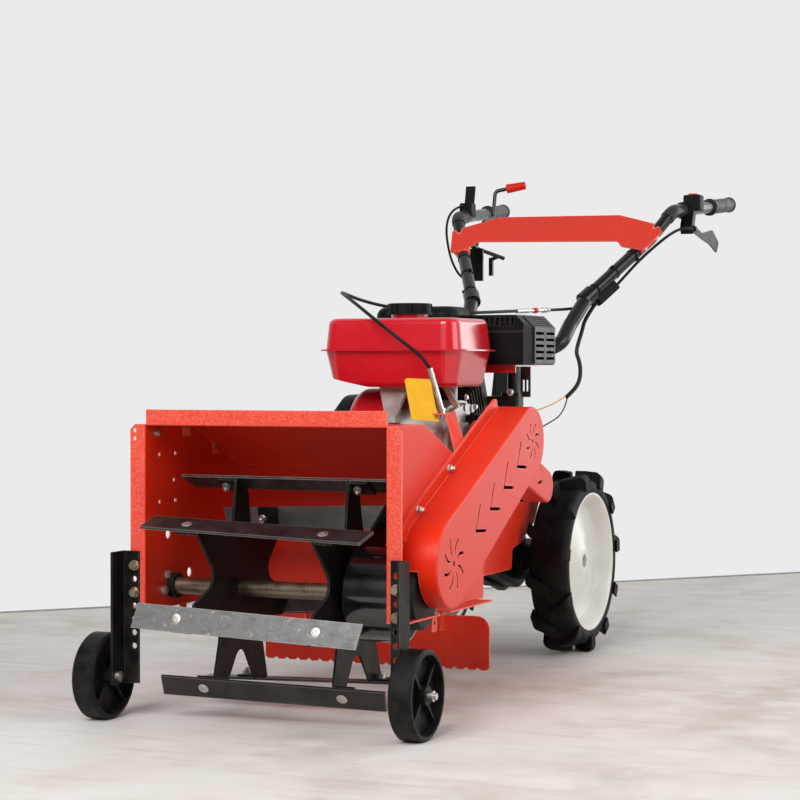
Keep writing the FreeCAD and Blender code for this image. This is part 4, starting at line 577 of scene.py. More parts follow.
# small parts are drawn once and set where they belong by one node tree
def makeScatterTree():
    tree = bpy.data.node_groups.new("setOnPoints", "GeometryNodeTree")
    for label, kind in (("Geometry", "NodeSocketGeometry"), ("Part", "NodeSocketObject"),
                        ("Size", "NodeSocketFloat"), ("Finish", "NodeSocketMaterial")):
        tree.interface.new_socket(label, in_out="INPUT", socket_type=kind)
    tree.interface.new_socket("Geometry", in_out="OUTPUT", socket_type="NodeSocketGeometry")
    entry, out = tree.nodes.new("NodeGroupInput").outputs, tree.nodes.new("NodeGroupOutput").inputs
    part = tree.nodes.new("GeometryNodeObjectInfo")
    turn = tree.nodes.new("GeometryNodeInputNamedAttribute")
    turn.data_type = "FLOAT_VECTOR"
    turn.inputs["Name"].default_value = "turn"
    spread = tree.nodes.new("GeometryNodeInstanceOnPoints")
    realize = tree.nodes.new("GeometryNodeRealizeInstances")
    finish = tree.nodes.new("GeometryNodeSetMaterial")
    for source, target in ((entry["Part"], part.inputs["Object"]),
                           (entry["Geometry"], spread.inputs["Points"]),
                           (part.outputs["Geometry"], spread.inputs["Instance"]),
                           (turn.outputs["Attribute"], spread.inputs["Rotation"]),
                           (entry["Size"], spread.inputs["Scale"]),
                           (spread.outputs["Instances"], realize.inputs["Geometry"]),
                           (realize.outputs["Geometry"], finish.inputs["Geometry"]),
                           (entry["Finish"], finish.inputs["Material"]),
                           (finish.outputs["Geometry"], out["Geometry"])):
        tree.links.new(source, target)
    return tree


scatterTree = makeScatterTree()
scatterSockets = {item.name: item.identifier for item in scatterTree.interface.items_tree
                  if item.in_out == "INPUT"}


def evaluatedMesh(holder):
    graph = bpy.context.evaluated_depsgraph_get()
    return bpy.data.meshes.new_from_object(holder.evaluated_get(graph))


def scatterMesh(name, part, spots, finish, size=1.0):
    # spots are pairs of a place and a 3x3 turn
    points = bpy.data.meshes.new(name + "Points")
    points.from_pydata([tuple(place) for place, turn in spots], [], [])
    turns = points.attributes.new("turn", "FLOAT_VECTOR", "POINT")
    for entry, (place, turn) in zip(turns.data, spots):
        entry.vector = turn.to_euler()
    holder = addObject(name + "Points", points)
    drawn = addObject(name + "Part", part)
    modifier = holder.modifiers.new("set", "NODES")
    modifier.node_group = scatterTree
    for label, value in (("Part", drawn), ("Size", size), ("Finish", paint[finish])):
        modifier[scatterSockets[label]] = value
    made = evaluatedMesh(holder)
    holder.modifiers.remove(modifier)
    bpy.data.objects.remove(holder)
    bpy.data.objects.remove(drawn)
    made.name = name
    return made


def meshFrom(name, draw, seat=None):
    # seat is the matrix that sets the drawn part where it belongs
    shape = bmesh.new()
    draw(shape)
    if seat is not None:
        bmesh.ops.transform(shape, matrix=seat, verts=shape.verts)
    bmesh.ops.recalc_face_normals(shape, faces=shape.faces)
    mesh = bpy.data.meshes.new(name)
    shape.to_mesh(mesh)
    shape.free()
    return mesh


def joinMeshes(name, meshes, finish):
    shape = bmesh.new()
    for mesh in meshes:
        shape.from_mesh(mesh)
    whole = bpy.data.meshes.new(name)
    shape.to_mesh(whole)
    shape.free()
    whole.materials.append(paint[finish])
    for face in whole.polygons:
        face.material_index = 0
    return whole


def keepPiece(name, mesh, body, smooth=40):
    piece = addObject(name, mesh)
    if smooth is not None:
        mesh.shade_smooth()
        mesh.set_sharp_from_angle(angle=math.radians(smooth))
    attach(piece, body)
    return piece


def keepDrawn(name, draw, seat, finish):
    # a piece of the machine that is drawn once
    mesh = meshFrom(name, draw, seat)
    mesh.materials.append(paint[finish])
    keepPiece(name, mesh, "machine")


def keepScattered(name, draw, spots, finish, body="machine", size=1.0, smooth=40):
    # a piece of many small parts, all drawn alike
    mesh = scatterMesh(name, meshFrom(name + "One", draw), spots, finish, size)
    keepPiece(name, mesh, body, smooth)


def facing(direction, spin=0.0):
    # the turn that points a part's Z axis along a direction
    return Vector(direction).to_track_quat("Z", "Y").to_matrix() @ Matrix.Rotation(spin, 3, "Z")


def placed(place, turn):
    return Matrix.Translation(place) @ turn.to_4x4()


def lathe(shape, profile, sides, ring=False, wave=1.0, waveFrom=0.0):
    # revolve an (r, z) profile about Z; a ring's profile is closed, any other starts and ends on the axis;
    # past the radius waveFrom, every second point is pulled in by the factor wave
    rows = []
    for r, z in profile:
        if r < 1e-6:
            rows.append([shape.verts.new((0, 0, z))])
            continue
        row = []
        for i in range(sides):
            reach = r * (wave if i % 2 and r > waveFrom else 1.0)
            around = 2 * math.pi * i / sides
            row.append(shape.verts.new((reach * math.cos(around), reach * math.sin(around), z)))
        rows.append(row)
    pairs = list(zip(rows, rows[1:]))
    if ring:
        pairs.append((rows[-1], rows[0]))
    for low, high in pairs:
        for i in range(sides):
            j = (i + 1) % sides
            corners = [low[i % len(low)], low[j % len(low)], high[j % len(high)], high[i % len(high)]]
            shape.faces.new(list(dict.fromkeys(corners)))


def skin(shape, rows):
    # faces from each row of points to the next, and over both ends
    for low, high in zip(rows, rows[1:]):
        for i in range(len(low)):
            j = (i + 1) % len(low)
            shape.faces.new((low[i], low[j], high[j], high[i]))
    shape.faces.new(rows[0])
    shape.faces.new(rows[-1])


def boxAt(shape, low, high, edge):
    made = bmesh.ops.create_cube(shape, size=1.0)["verts"]
    for vert in made:
        vert.co = Vector([(a + b) / 2 + c * (b - a) for a, b, c in zip(low, high, vert.co)])
    edges = list({e for vert in made for e in vert.link_edges})
    bmesh.ops.bevel(shape, geom=edges, offset=edge, segments=2, affect="EDGES")


def boxMiddle(node):
    low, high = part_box(node)
    return Vector([(a + b) / 2 for a, b in zip(low, high)])


# bolt heads and nuts sit at z = 0, each on a washer; a chamfer is how far it goes across and down
washer = {"radius": 0.0088, "height": 0.0014, "chamfer": (0.0005, 0.00042), "sunk": 0.0004, "sides": 24}
hexBolt = {"radius": 0.0073, "height": 0.0055, "chamfer": (0.0008, 0.0008)}
acornNut = {
    "radius": 0.0072, "height": 0.0061, "chamfer": (0.0008, 0.0006),
    "dome": [(0.0, -0.0016), (0.0056, -0.0016), (0.0055, 0.0010), (0.0047, 0.0032), (0.0030, 0.0050),
             (0.0, 0.0057)],
    "domeSides": 18,
}
studNut = {
    "radius": 0.0076, "height": 0.0060, "chamfer": (0.0006, 0.0006), "foot": 0.0072, "footTop": 0.0026,
    "crest": 0.0041, "root": 0.0035, "pitch": 0.0011, "turns": 5, "rootAfter": 0.0006, "threadSunk": 0.001,
    "stud": 0.0046, "studSides": 14,
}


def drawHead(shape, facts):
    # a washer and the six-sided head on it; gives the height of the head's top
    r, deck, sunk = washer["radius"], washer["height"], washer["sunk"]
    across, down = washer["chamfer"]
    lathe(shape, [(0, -sunk), (r, -sunk), (r, deck - down), (r - across, deck), (0, deck)], washer["sides"])
    across, down = facts["chamfer"]
    top = deck + facts["height"]
    foot = [(facts["radius"], deck / 2)]
    if "foot" in facts:
        foot = [(facts["foot"], deck / 2), (facts["radius"], facts["footTop"])]
    shoulder = [(facts["radius"], top - down), (facts["radius"] - across, top)]
    lathe(shape, [(0, deck / 2), *foot, *shoulder, (0, top)], 6)
    return top


def drawHexBolt(shape):
    drawHead(shape, hexBolt)


def drawAcornNut(shape):
    top = drawHead(shape, acornNut)
    lathe(shape, [(r, top + z) for r, z in acornNut["dome"]], acornNut["domeSides"])


def drawNutAndStud(shape):
    top = drawHead(shape, studNut)
    thread = [(0, top - studNut["threadSunk"])]
    for i in range(studNut["turns"]):
        crestAt = top - studNut["threadSunk"] + i * studNut["pitch"]
        thread += [(studNut["crest"], crestAt), (studNut["root"], crestAt + studNut["rootAfter"])]
    lathe(shape, thread + [(0, top + studNut["stud"])], studNut["studSides"])


# countersunk screw, flush but for its edge, with a sunk cross
crossScrew = {
    "reach": 0.0040,       # an arm of the cross, from the middle, and half its width
    "half": 0.0009,
    "head": [(0.0062, -0.0016), (0.0078, 0.0), (0.0078, 0.0004), (0.0070, 0.0009), (0.0052, 0.0011)],
    "crossFloor": 0.00015,
}


def drawCrossScrew(shape):
    reach, half = crossScrew["reach"], crossScrew["half"]
    corners = []
    for turns in range(4):
        for x, y in ((reach, -half), (reach, half), (half, half)):
            for step in range(turns):
                x, y = -y, x
            corners.append((x, y))
    outline = []
    for (x, y), (nextX, nextY) in zip(corners, corners[1:] + corners[:1]):
        outline += [(x, y), ((x + nextX) / 2, (y + nextY) / 2)]
    rows = []
    for r, z in crossScrew["head"]:
        rows.append([shape.verts.new((r * x / math.hypot(x, y), r * y / math.hypot(x, y), z))
                     for x, y in outline])
    for z in (crossScrew["head"][-1][1], crossScrew["crossFloor"]):
        rows.append([shape.verts.new((x, y, z)) for x, y in outline])
    skin(shape, rows)


# the rotor's blades, each held by two countersunk screws
rotor = {
    "arms": 7,
    "lead": 37.6,          # degrees up from straight ahead to the first blade
    "seat": 0.195,         # from the axis out to a blade's seat
    "tilt": 30.0,
    "skew": 2.526,         # degrees that a blade is out of line with the axis, about its middle
    "middle": 0.019,
    "screwsAt": (-0.1275, 0.1475),
    "screwSize": 1.3,
    "bladeThick": 0.005,
    "tabThick": 0.005,
}


def armMatrix(i):
    middle = Vector((rotor["middle"], 0, 0))
    lift = math.radians(rotor["lead"] + 360.0 / rotor["arms"] * i)
    skewed = Matrix.Translation(middle) @ Matrix.Rotation(math.radians(rotor["skew"]), 4, "Y")
    seated = skewed @ Matrix.Translation(-middle) @ Matrix.Rotation(math.radians(-rotor["tilt"]), 4, "X")
    out = Matrix.Translation(rotorAxis) @ Matrix.Rotation(-lift, 4, "X")
    return out @ Matrix.Translation((0, -rotor["seat"], 0)) @ seated


def makeBladeFasteners():
    # no two screws or nuts next to each other are turned alike
    screws, nuts = [], []
    for i in range(rotor["arms"]):
        onArm = armMatrix(i)
        outward = onArm.to_3x3() @ Vector((0, -1, 0))
        for j, x in enumerate(rotor["screwsAt"]):
            screws.append((onArm @ Vector((x, -rotor["bladeThick"], 0)), facing(outward, 0.5 + i + 2 * j)))
            nuts.append((onArm @ Vector((x, rotor["tabThick"], 0)), facing(-outward, 0.3 * i + j)))
    keepScattered("bladeScrews", drawCrossScrew, screws, "zincPlate", "rotor", rotor["screwSize"])
    keepScattered("bladeNuts", drawNutAndStud, nuts, "zincPlate", "rotor")


makeBladeFasteners()
print("blade fasteners made")


# bolts and nuts on the machine: places in metres, and the way each head faces
gearCase = (0.173, -0.431, 0.504)      # middle of the gear case's outer face
fastenings = {
    "chamberBolts": {
        "draw": drawHexBolt, "finish": "zincPlate", "size": 1.1,
        "spots": [((-0.243, -0.941, 0.529), (1, 0, 0)), ((-0.243, -0.916, 0.232), (1, 0, 0)),
                  ((-0.243, -0.903, 0.259), (1, 0, 0)), ((-0.246, -0.941, 0.529), (-1, 0, 0))],
    },
    "roofBolts": {
        "draw": drawHexBolt, "finish": "redPowder", "size": 1.1,
        "spots": [((x, y, z), (way, 0, 0)) for x, way in ((-0.240, 1), (0.240, -1), (-0.246, -1))
                  for y, z in ((-0.716, 0.492), (-0.828, 0.530))],
    },
    "braceBolts": {
        "draw": drawHexBolt, "finish": "zincPlate", "size": 0.8,
        "spots": [((side * x, y, z), (0.85, -0.52, 0.07)) for side in (1, -1)
                  for x, y, z in ((0.2639, 0.5995, 0.9666), (0.2449, 0.5650, 0.9391))],
    },
    "caseBolts": {
        "draw": drawHexBolt, "finish": "zincPlate", "size": 0.7,
        "spots": [((gearCase[0], gearCase[1] + y, gearCase[2] + z), (1, 0, 0)) for y, z in
                  ((-0.078, -0.04), (-0.080, 0.03), (-0.045, 0.072), (0.005, 0.086), (0.055, 0.066),
                   (0.082, 0.02))],
    },
    "flangeNuts": {
        "draw": drawNutAndStud, "finish": "zincPlate", "size": 0.9,
        "spots": [((0.196, y, 0.598), (0.6, -0.8, 0)) for y in (-0.232, -0.198)],
    },
    "coverNuts": {
        "draw": drawAcornNut, "finish": "zincPlate", "size": 0.95,
        "spots": [((0.252, y, z), (1, 0, 0)) for y, z in ((-0.861, 0.391), (-0.711, 0.460))],
    },
    "bracketBolts": {
        "draw": drawHexBolt, "finish": "zincWarm", "size": 1.15,
        "spots": [((x, -0.990, z), (0, -1, 0)) for x, z in
                  ((-0.264, 0.283), (-0.264, 0.2334), (0.264, 0.2582), (0.264, 0.2086))],
    },
}


def makeFastenings():
    # each head is turned a little further than the one before
    for name, facts in fastenings.items():
        spots = [(place, facing(way, 0.4 * i)) for i, (place, way) in enumerate(facts["spots"])]
        keepScattered(name, facts["draw"], spots, facts["finish"], size=facts["size"])


makeFastenings()
print("bolts made:", sum(len(facts["spots"]) for facts in fastenings.values()))


# drive tyres: a smooth casing with chevron lugs that step down onto the sidewalls
tyre = {
    "radius": 0.2074,
    "casing": 0.190,
    "bead": 0.1505,
    "crown": 0.0015,
    # how far out from the bead, then from the casing's radius, and how far in from the tyre's side
    "sidewall": [(0.0, 0.0102), (0.004, 0.0098), (0.006, 0.0068), (0.013, 0.0048), (0.024, 0.0052)],
    "shoulder": [(-0.008, 0.0095), (-0.002, 0.018), (0.0, 0.030)],
    "sides": 120,
    "inset": 0.0003,       # how far each side stays within the CAD's tyre
    "lugs": 11,
    "lag": 0.034,          # how far a lug's outer end leads its inner end, along the tread
    "innerWidth": 0.017,
    "outerWidth": 0.029,
    "flare": 0.003,        # how far a lug's foot stands out past its top
    "lugEdge": 0.0013,
}


def makeTyre(name, node, side):
    low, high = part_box(node)
    centre = boxMiddle(node)
    half = (high[0] - low[0]) / 2 - tyre["inset"]
    radius, casing, bead = tyre["radius"], tyre["casing"], tyre["bead"]

    def drawCasing(shape):
        # up the sidewall from the bead, over the shoulder to the crown, and down the other side
        profile = [(bead + out, half - inward) for out, inward in tyre["sidewall"]]
        profile += [(casing + out, half - inward) for out, inward in tyre["shoulder"]]
        other = [(r, -x) for r, x in reversed(profile)]
        lathe(shape, profile + [(casing + tyre["crown"], 0)] + other, tyre["sides"], ring=True)

    def drawLug(shape):
        # stations across the tread: how far out, low and high radius, and share of the lag and width
        stations = [(-0.004, casing - 0.004, radius - 0.0008, 0.0),
                    (half * 0.35, casing - 0.004, radius, 0.35),
                    (half * 0.82, casing - 0.014, radius - 0.0006, 0.86),
                    (half - 0.0035, bead + 0.022, radius - 0.0055, 0.98),
                    (half, bead + 0.0195, radius - 0.013, 1.0)]
        rows = []
        for out, under, top, share in stations:
            lead = tyre["lag"] * share
            reach = (tyre["innerWidth"] + (tyre["outerWidth"] - tyre["innerWidth"]) * share) / 2
            row = []
            for r, along in ((under, lead - reach - tyre["flare"]), (top, lead - reach), (top, lead + reach),
                             (under, lead + reach + tyre["flare"])):
                around = along / radius
                row.append(shape.verts.new((side * out, -r * math.cos(around), r * math.sin(around))))
            rows.append(row)
        skin(shape, rows)
        bmesh.ops.bevel(shape, geom=list(shape.edges), offset=tyre["lugEdge"], segments=2, affect="EDGES",
                        clamp_overlap=True)

    def mirroredLug(shape):
        drawLug(shape)
        bmesh.ops.transform(shape, matrix=Matrix.Diagonal((-1, 1, 1, 1)), verts=shape.verts)

    meshes = []
    for draw, shift in ((drawLug, 0.0), (mirroredLug, 0.5)):
        spots = [(centre, Matrix.Rotation(2 * math.pi * (i + shift) / tyre["lugs"], 3, "X"))
                 for i in range(tyre["lugs"])]
        meshes.append(scatterMesh(name + "Lugs", meshFrom("lug", draw), spots, "tyreRubber"))
    meshes.append(meshFrom("casing", drawCasing, placed(centre, Matrix.Rotation(math.pi / 2, 3, "Y"))))
    whole = joinMeshes(name, meshes, "tyreRubber")
    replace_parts(keepPiece(name, whole, "drive_wheels", 35), node)


makeTyre("driveTyreLeft", "drive_tyre_left", -1)
makeTyre("driveTyreRight", "drive_tyre_right", 1)
print("drive tyres made")


# pressed drive rims: a shallow dish whose hub stands nearly level with the lip; z is 0 at the lip's face
rim = {
    "front": [(0.0152, -0.0175), (0.030, -0.016), (0.036, -0.019), (0.070, -0.024), (0.080, -0.030),
              (0.118, -0.037), (0.132, -0.033), (0.140, -0.022), (0.1455, -0.006), (0.1520, 0.0),
              (0.1570, 0.0002), (0.1585, -0.002), (0.1570, -0.0040), (0.1500, -0.0045)],
    "back": [(0.1500, -0.0850), (0.1575, -0.0870), (0.1585, -0.0890), (0.1560, -0.0905), (0.1465, -0.0880),
             (0.1465, -0.0100), (0.1400, -0.0265), (0.1310, -0.0365), (0.1180, -0.0405), (0.0800, -0.0335),
             (0.0700, -0.0275), (0.0340, -0.0225), (0.0300, -0.0210), (0.0152, -0.0210)],
    "hub": [(0.0152, -0.0185), (0.024, -0.0185), (0.024, -0.0960), (0.0152, -0.0960)],
    "sides": 96,
    "hubSides": 32,
    "inset": 0.0008,       # how far the lip stays within the CAD's rims
}


def makeRims():
    middle = boxMiddle("drive_rims")
    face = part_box("drive_rims")[1][0] - rim["inset"]

    def drawRim(shape):
        # out over the dish to the lip, in along the tyre's seat and back inside
        lathe(shape, rim["front"] + rim["back"], rim["sides"], ring=True)

    def drawHub(shape):
        lathe(shape, rim["hub"], rim["hubSides"], ring=True)

    shapes = []
    for side in (-1, 1):
        seat = placed(Vector((side * face, middle.y, middle.z)), facing((side, 0, 0)))
        shapes += [meshFrom("rim", drawRim, seat), meshFrom("hub", drawHub, seat)]
    whole = joinMeshes("driveRims", shapes, "rimEnamel")
    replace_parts(keepPiece("driveRims", whole, "drive_wheels", 38), "drive_rims")


makeRims()
print("drive rims made")


# the belt drive that shows through the cover's slots, drawn near-black as painted shade for the dark inside
# the cover
beltDrive = {
    "low": (-0.849, 0.295, 0.060),      # middle along Y and Z, and radius of each pulley
    "high": (-0.431, 0.504, 0.052),
    "from": 0.2880,
    "to": 0.3125,
    "groove": 0.008,
    "rim": 0.004,
    "hub": 0.014,
    "sides": 48,
    "belt": ((-0.0085, 0.001), (0.0085, 0.001), (0.006, -0.008), (-0.006, -0.008)),      # across and out
}


def makeBeltDrive():
    meshes = []
    depth = beltDrive["to"] - beltDrive["from"]
    hub, lip = beltDrive["hub"], beltDrive["rim"]
    for y, z, r in (beltDrive["low"], beltDrive["high"]):
        # over the groove from one edge to the other, then in across the dished face to the hub
        profile = [(0, 0), (r, 0), (r, depth * 0.2), (r - beltDrive["groove"], depth * 0.5), (r, depth * 0.8),
                   (r, depth), (r - lip, depth), (r - lip * 1.5, depth * 0.9), (hub, depth * 0.9),
                   (hub - 0.002, depth), (0, depth)]
        seat = placed(Vector((beltDrive["from"], y, z)), facing((1, 0, 0)))
        meshes.append(meshFrom("pulley", lambda shape: lathe(shape, profile, beltDrive["sides"]), seat))

    def drawBelt(shape):
        # two straight runs, each from the side of one pulley to the same side of the other
        (y0, z0, r0), (y1, z1, r1) = beltDrive["low"], beltDrive["high"]
        way = Vector((0, y1 - y0, z1 - z0)).normalized()
        side = Vector((0, -way.z, way.y))
        middle = beltDrive["from"] + depth / 2
        for sign in (-1, 1):
            rows = []
            for y, z, r in ((y0, z0, r0), (y1, z1, r1)):
                place = Vector((middle, y, z)) + side * sign * r
                rows.append([shape.verts.new(place + Vector((x, 0, 0)) + side * sign * out)
                             for x, out in beltDrive["belt"]])
            skin(shape, rows)

    meshes.append(meshFrom("belt", drawBelt))
    keepPiece("beltDrive", joinMeshes("beltDrive", meshes, "holeShadeBlack"), "machine", 35)


makeBeltDrive()
print("belt drive made")


def bothSides(low, high):
    # a line of the machine on its left and on its right: lower end, upper end and way up
    for side in (-1, 1):
        start, end = (Vector((side * x, y, z)) for x, y, z in (low, high))
        yield start, end, (end - start).normalized()


# ribbed grips, each with a ring at its outer end
grips = {
    "knee": (0.283, 0.674, 1.033),
    "end": (0.316, 1.090, 1.078),
    "radius": 0.0175,
    "ribs": 22,
    "rib": ((-0.0006, -0.0011, -0.056), (0.0008, 0.0011, 0.056)),      # its box, lying on the grip
    "ribEdge": 0.0004,
    "ribMiddle": 0.068,      # from the grip's end
    "ring": [(-0.002, -0.003), (0.0022, -0.0026), (0.0028, 0.0), (0.0018, 0.0028), (-0.002, 0.0032)],
    "ringMiddle": 0.004,
    "ringSides": 32,
}


def makeGrips():
    def drawRib(shape):
        boxAt(shape, *grips["rib"], grips["ribEdge"])

    def drawEndRing(shape):
        profile = [(grips["radius"] + out, z) for out, z in grips["ring"]]
        lathe(shape, profile, grips["ringSides"], ring=True)

    ribs, rings = [], []
    for knee, end, along in bothSides(grips["knee"], grips["end"]):
        middle = end - along * grips["ribMiddle"]
        for i in range(grips["ribs"]):
            turn = facing(along, 2 * math.pi * i / grips["ribs"])
            ribs.append((middle + turn @ Vector((grips["radius"], 0, 0)), turn))
        rings.append((end - along * grips["ringMiddle"], facing(along)))
    keepScattered("gripRibs", drawRib, ribs, "gripRubber")
    keepScattered("gripEnds", drawEndRing, rings, "gripRubber")


# cable ties round the lower tubes
ties = {
    "collar": (0.147, 0.424, 0.818),
    "brace": (0.247, 0.606, 0.963),
    "at": (0.030, 0.105, 0.178),      # along the tube from its collar
    "tubeRadius": 0.015,
    "halfWidth": 0.0022,
    "thick": 0.0014,
    "sunk": 0.0004,
    "lock": (0.0055, 0.0035, 0.0030),      # how far out, and half across and along
    "lockEdge": 0.0006,
    "sides": 32,
}


def makeTies():
    def drawTie(shape):
        r, half = ties["tubeRadius"], ties["halfWidth"]
        within, outer = r - ties["sunk"], r + ties["thick"]
        profile = [(within, -half), (outer, -half), (outer, half), (within, half)]
        lathe(shape, profile, ties["sides"], ring=True)
        out, across, along = ties["lock"]
        boxAt(shape, (r, -across, -along), (r + out, across, along), ties["lockEdge"])

    spots = []
    for collar, brace, along in bothSides(ties["collar"], ties["brace"]):
        for i, distance in enumerate(ties["at"]):          # the locks point different ways
            spots.append((collar + along * distance, facing(along, 1.9 * i)))
    keepScattered("cableTies", drawTie, spots, "blackPlastic")


# the engine switch's rocker
rocker = {"low": (0.298, 0.760, 1.0785), "high": (0.320, 0.782, 1.0835), "edge": 0.0015}


def makeRocker():
    def drawRocker(shape):
        boxAt(shape, rocker["low"], rocker["high"], rocker["edge"])

    keepDrawn("switchRocker", drawRocker, None, "redGrip")


# threaded barrel on the rear cable, with a red sleeve in its middle
adjuster = {
    "from": 0.13,          # where it starts and ends along the cable, by Y
    "to": 0.29,
    "root": 0.0046,
    "crest": 0.0052,
    "pitch": 0.0036,
    "turns": 16,
    "threadStart": 0.004,
    "nut": 0.0062,
    "nutFrom": 0.030,      # back from the barrel's end
    "nutTo": 0.012,
    "nutBevel": 0.002,
    "sides": 20,
    "sleeveAt": 0.52,
    "sleeve": [(0.0053, 0), (0.0064, 0.0008), (0.0064, 0.0132), (0.0053, 0.014)],
}


def cableRoute(name):
    # points along a cord's own smooth line
    bare = bpy.data.objects[name].data.copy()
    bare.bevel_depth = 0
    holder = addObject(name + "Line", bare)
    mesh = evaluatedMesh(holder)
    points = [vert.co.copy() for vert in mesh.vertices]
    bpy.data.objects.remove(holder)
    bpy.data.meshes.remove(mesh)
    return points


def makeAdjuster():
    line = [point for point in cableRoute("rotorClutchCable") if adjuster["from"] < point.y < adjuster["to"]]
    line.sort(key=lambda point: point.y)
    start, end = line[0], line[-1]
    along = (end - start).normalized()
    length = (end - start).length
    turn = facing(along)

    def drawBarrel(shape):
        root, nut = adjuster["root"], adjuster["nut"]
        thread = []
        for i in range(adjuster["turns"]):
            crestAt = adjuster["threadStart"] + i * adjuster["pitch"]
            thread += [(adjuster["crest"], crestAt), (root, crestAt + adjuster["pitch"] / 2)]
        nutFrom, nutTo = length - adjuster["nutFrom"], length - adjuster["nutTo"]
        collar = [(root, nutFrom), (nut, nutFrom), (nut, nutTo), (root, nutTo + adjuster["nutBevel"])]
        lathe(shape, [(0, 0), (root, 0), *thread, *collar, (root, length), (0, length)], adjuster["sides"])

    def drawSleeve(shape):
        lathe(shape, adjuster["sleeve"], adjuster["sides"])

    keepDrawn("cableAdjuster", drawBarrel, placed(start, turn), "zincPlate")
    sleeveSeat = placed(start + along * (length * adjuster["sleeveAt"]), turn)
    keepDrawn("adjusterSleeve", drawSleeve, sleeveSeat, "redGrip")


# the gear case's oil plug, with a fluted rim and a bar to turn it by
oilPlug = {
    "place": (0.168, -0.408, 0.542),
    "profile": [(0, 0), (0.013, 0), (0.013, 0.008), (0.0175, 0.009), (0.018, 0.018), (0.0165, 0.020),
                (0, 0.020)],
    "sides": 36,
    "flute": {"wave": 0.90, "waveFrom": 0.0155},
    "bar": ((-0.004, -0.0135, 0.017), (0.004, 0.0135, 0.026)),
    "barEdge": 0.0012,
}


def makeOilPlug():
    def drawPlug(shape):
        lathe(shape, oilPlug["profile"], oilPlug["sides"], **oilPlug["flute"])
        boxAt(shape, *oilPlug["bar"], oilPlug["barEdge"])

    seat = placed(Vector(oilPlug["place"]), facing((1, 0, 0)))
    keepDrawn("oilPlug", drawPlug, seat, "blackPlastic")


# rows of small near-black discs on the bevel of the muffler's guard: painted shade that stands for its
# perforations
guard = {
    "low": (0.2800, 0, 0.7335),
    "high": (0.2566, 0, 0.7569),
    "faces": (1, 0, 1),
    "rows": 5,
    "firstRow": 0.14,      # share of the bevel's height
    "rowStep": 0.18,
    "holes": 17,
    "margin": 0.010,
    "hole": [(0, -0.0004), (0.0013, -0.0004), (0.0013, 0.00025), (0, 0.00025)],      # (r, z)
    "sides": 8,
}


def makeGuardHoleShade():
    low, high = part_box("muffler_plate")
    length = high[1] - low[1] - 2 * guard["margin"]

    def drawHole(shape):
        lathe(shape, guard["hole"], guard["sides"])

    spots = []
    for row in range(guard["rows"]):
        base = Vector(guard["low"]).lerp(Vector(guard["high"]), guard["firstRow"] + guard["rowStep"] * row)
        for i in range(guard["holes"]):
            y = low[1] + guard["margin"] + length * (i + 0.5 * (row % 2)) / guard["holes"]
            spots.append((Vector((base.x, y, base.z)), facing(guard["faces"])))
    keepScattered("guardPerforations", drawHole, spots, "holeShadeBlack", smooth=None)


makeGrips()
makeTies()
makeRocker()
makeAdjuster()
makeOilPlug()
makeGuardHoleShade()
print("trim made")


studio = {
    "floor": ((0.84, 0.81, 0.775), (0.81, 0.775, 0.735)),
    "stain": (0.52, 0.43, 0.36),
    "marks": (0.50, 0.44, 0.38),
    # the strip's colours: partly the seam, partly painted shade
    "jointShade": ((0.36, 0.35, 0.34), (0.56, 0.54, 0.52)),
    "jointWidth": 0.03,
    "jointLift": 0.001,
    "floorEdge": ((-1.487, 0.402), (0.212, 2.378)),      # where the floor meets the wall behind
    "floorBeside": 6.0,
    "floorDepth": 14.0,
    "wall": (0.835, 0.828, 0.835, 1),
    "ambient": 0.32,         # how strongly the world lights matt surfaces
    "roomFront": 0.09,       # what glossy surfaces see toward the camera's side
    "roomTurn": (-0.4, 0.5),      # where along Y that room goes from dark to pale
    # place, aim, size and watts
    "lamps": {
        "keyLight": ((0.15, -5.2, 3.6), (0, -0.1, 0.4), 3.0, 252.0),
        "sideLight": ((5.6, -1.0, 2.9), (0, -0.1, 0.5), 3.8, 146.0),
        "rearLight": ((3.8, 5.4, 2.3), (0.2, -0.3, 0.5), 4.0, 127.0),
    },
}


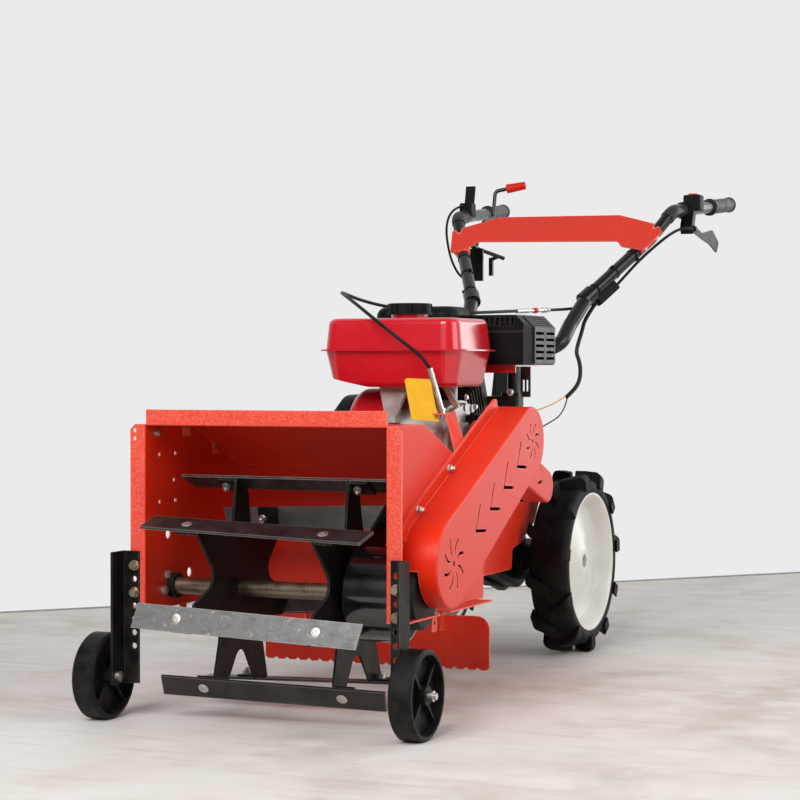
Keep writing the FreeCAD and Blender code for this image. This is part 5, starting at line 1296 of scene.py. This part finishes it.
def makeStage():
    start, end = (Vector((*corner, 0)) for corner in studio["floorEdge"])
    along = (end - start).normalized()
    toward = Vector((along.y, -along.x, 0))
    left, right = start - along * studio["floorBeside"], end + along * studio["floorBeside"]

    def makeStrip(name, width, lift, finish):
        mesh = bpy.data.meshes.new(name)
        up = Vector((0, 0, lift))
        corners = [left, left + toward * width, right + toward * width, right]
        mesh.from_pydata([corner + up for corner in corners], [], [(0, 1, 2, 3)])
        mesh.materials.append(finish.done())
        return addObject(name, mesh)

    pale = Finish("studioFloor", 0.6)
    pale.drift(*studio["floor"], 1.1)
    broad = pale.group("drift", Scale=1.7)["Mask"]
    fine = pale.group("drift", Scale=7.5)["Mask"]
    pale.over(broad, studio["stain"], 0.72, fine)
    pale.layer("scratch", {"Stretch": (3.0, 34.0, 1.0), "Least": 0.56}, studio["marks"], 0.35)
    pale.grain(90.0, 0.15)
    # the strip where the floor meets the wall is darker: partly the seam, partly painted shade
    dark = Finish("floorJoint", 0.7)
    dark.drift(*studio["jointShade"], 2.0)
    floor = makeStrip("floor", studio["floorDepth"], 0.0, pale)
    jointShade = makeStrip("floorJoint", studio["jointWidth"], studio["jointLift"], dark)


def makeWorld():
    # a pale wall for the camera, a darker room in front for reflections, and a lower ambient light
    world = bpy.data.worlds.new("studioWorld")
    bpy.context.scene.world = world
    world.use_nodes = True
    tree = world.node_tree
    background = tree.nodes["Background"].inputs
    background["Color"].default_value = studio["wall"]
    ray = tree.nodes.new("ShaderNodeLightPath").outputs
    sky = splitNode(tree, tree.nodes.new("ShaderNodeTexCoord").outputs["Generated"])
    room = rangeNode(tree, sky["Y"], *studio["roomTurn"], studio["roomFront"], 1.0)
    glossy = mathNode(tree, "MULTIPLY", ray["Is Glossy Ray"], room)
    seen = mathNode(tree, "MAXIMUM", ray["Is Camera Ray"], ray["Is Transmission Ray"])
    mirrored = mathNode(tree, "ADD", seen, ray["Is Glossy Ray"])
    matt = mathNode(tree, "MULTIPLY", mathNode(tree, "SUBTRACT", 1.0, mirrored), studio["ambient"])
    strength = mathNode(tree, "ADD", mathNode(tree, "ADD", seen, glossy), matt)
    tree.links.new(strength, background["Strength"])


def makeLights():
    for name, (place, aim, size, watts) in studio["lamps"].items():
        lamp = bpy.data.lights.new(name, "AREA")
        lamp.size = size
        lamp.energy = watts
        holder = addObject(name, lamp)
        holder.location = place
        holder.rotation_euler = (Vector(aim) - Vector(place)).to_track_quat("-Z", "Y").to_euler()
    bpy.context.scene.view_settings.view_transform = "Standard"


makeStage()
makeWorld()
makeLights()
print("stage and lights set")
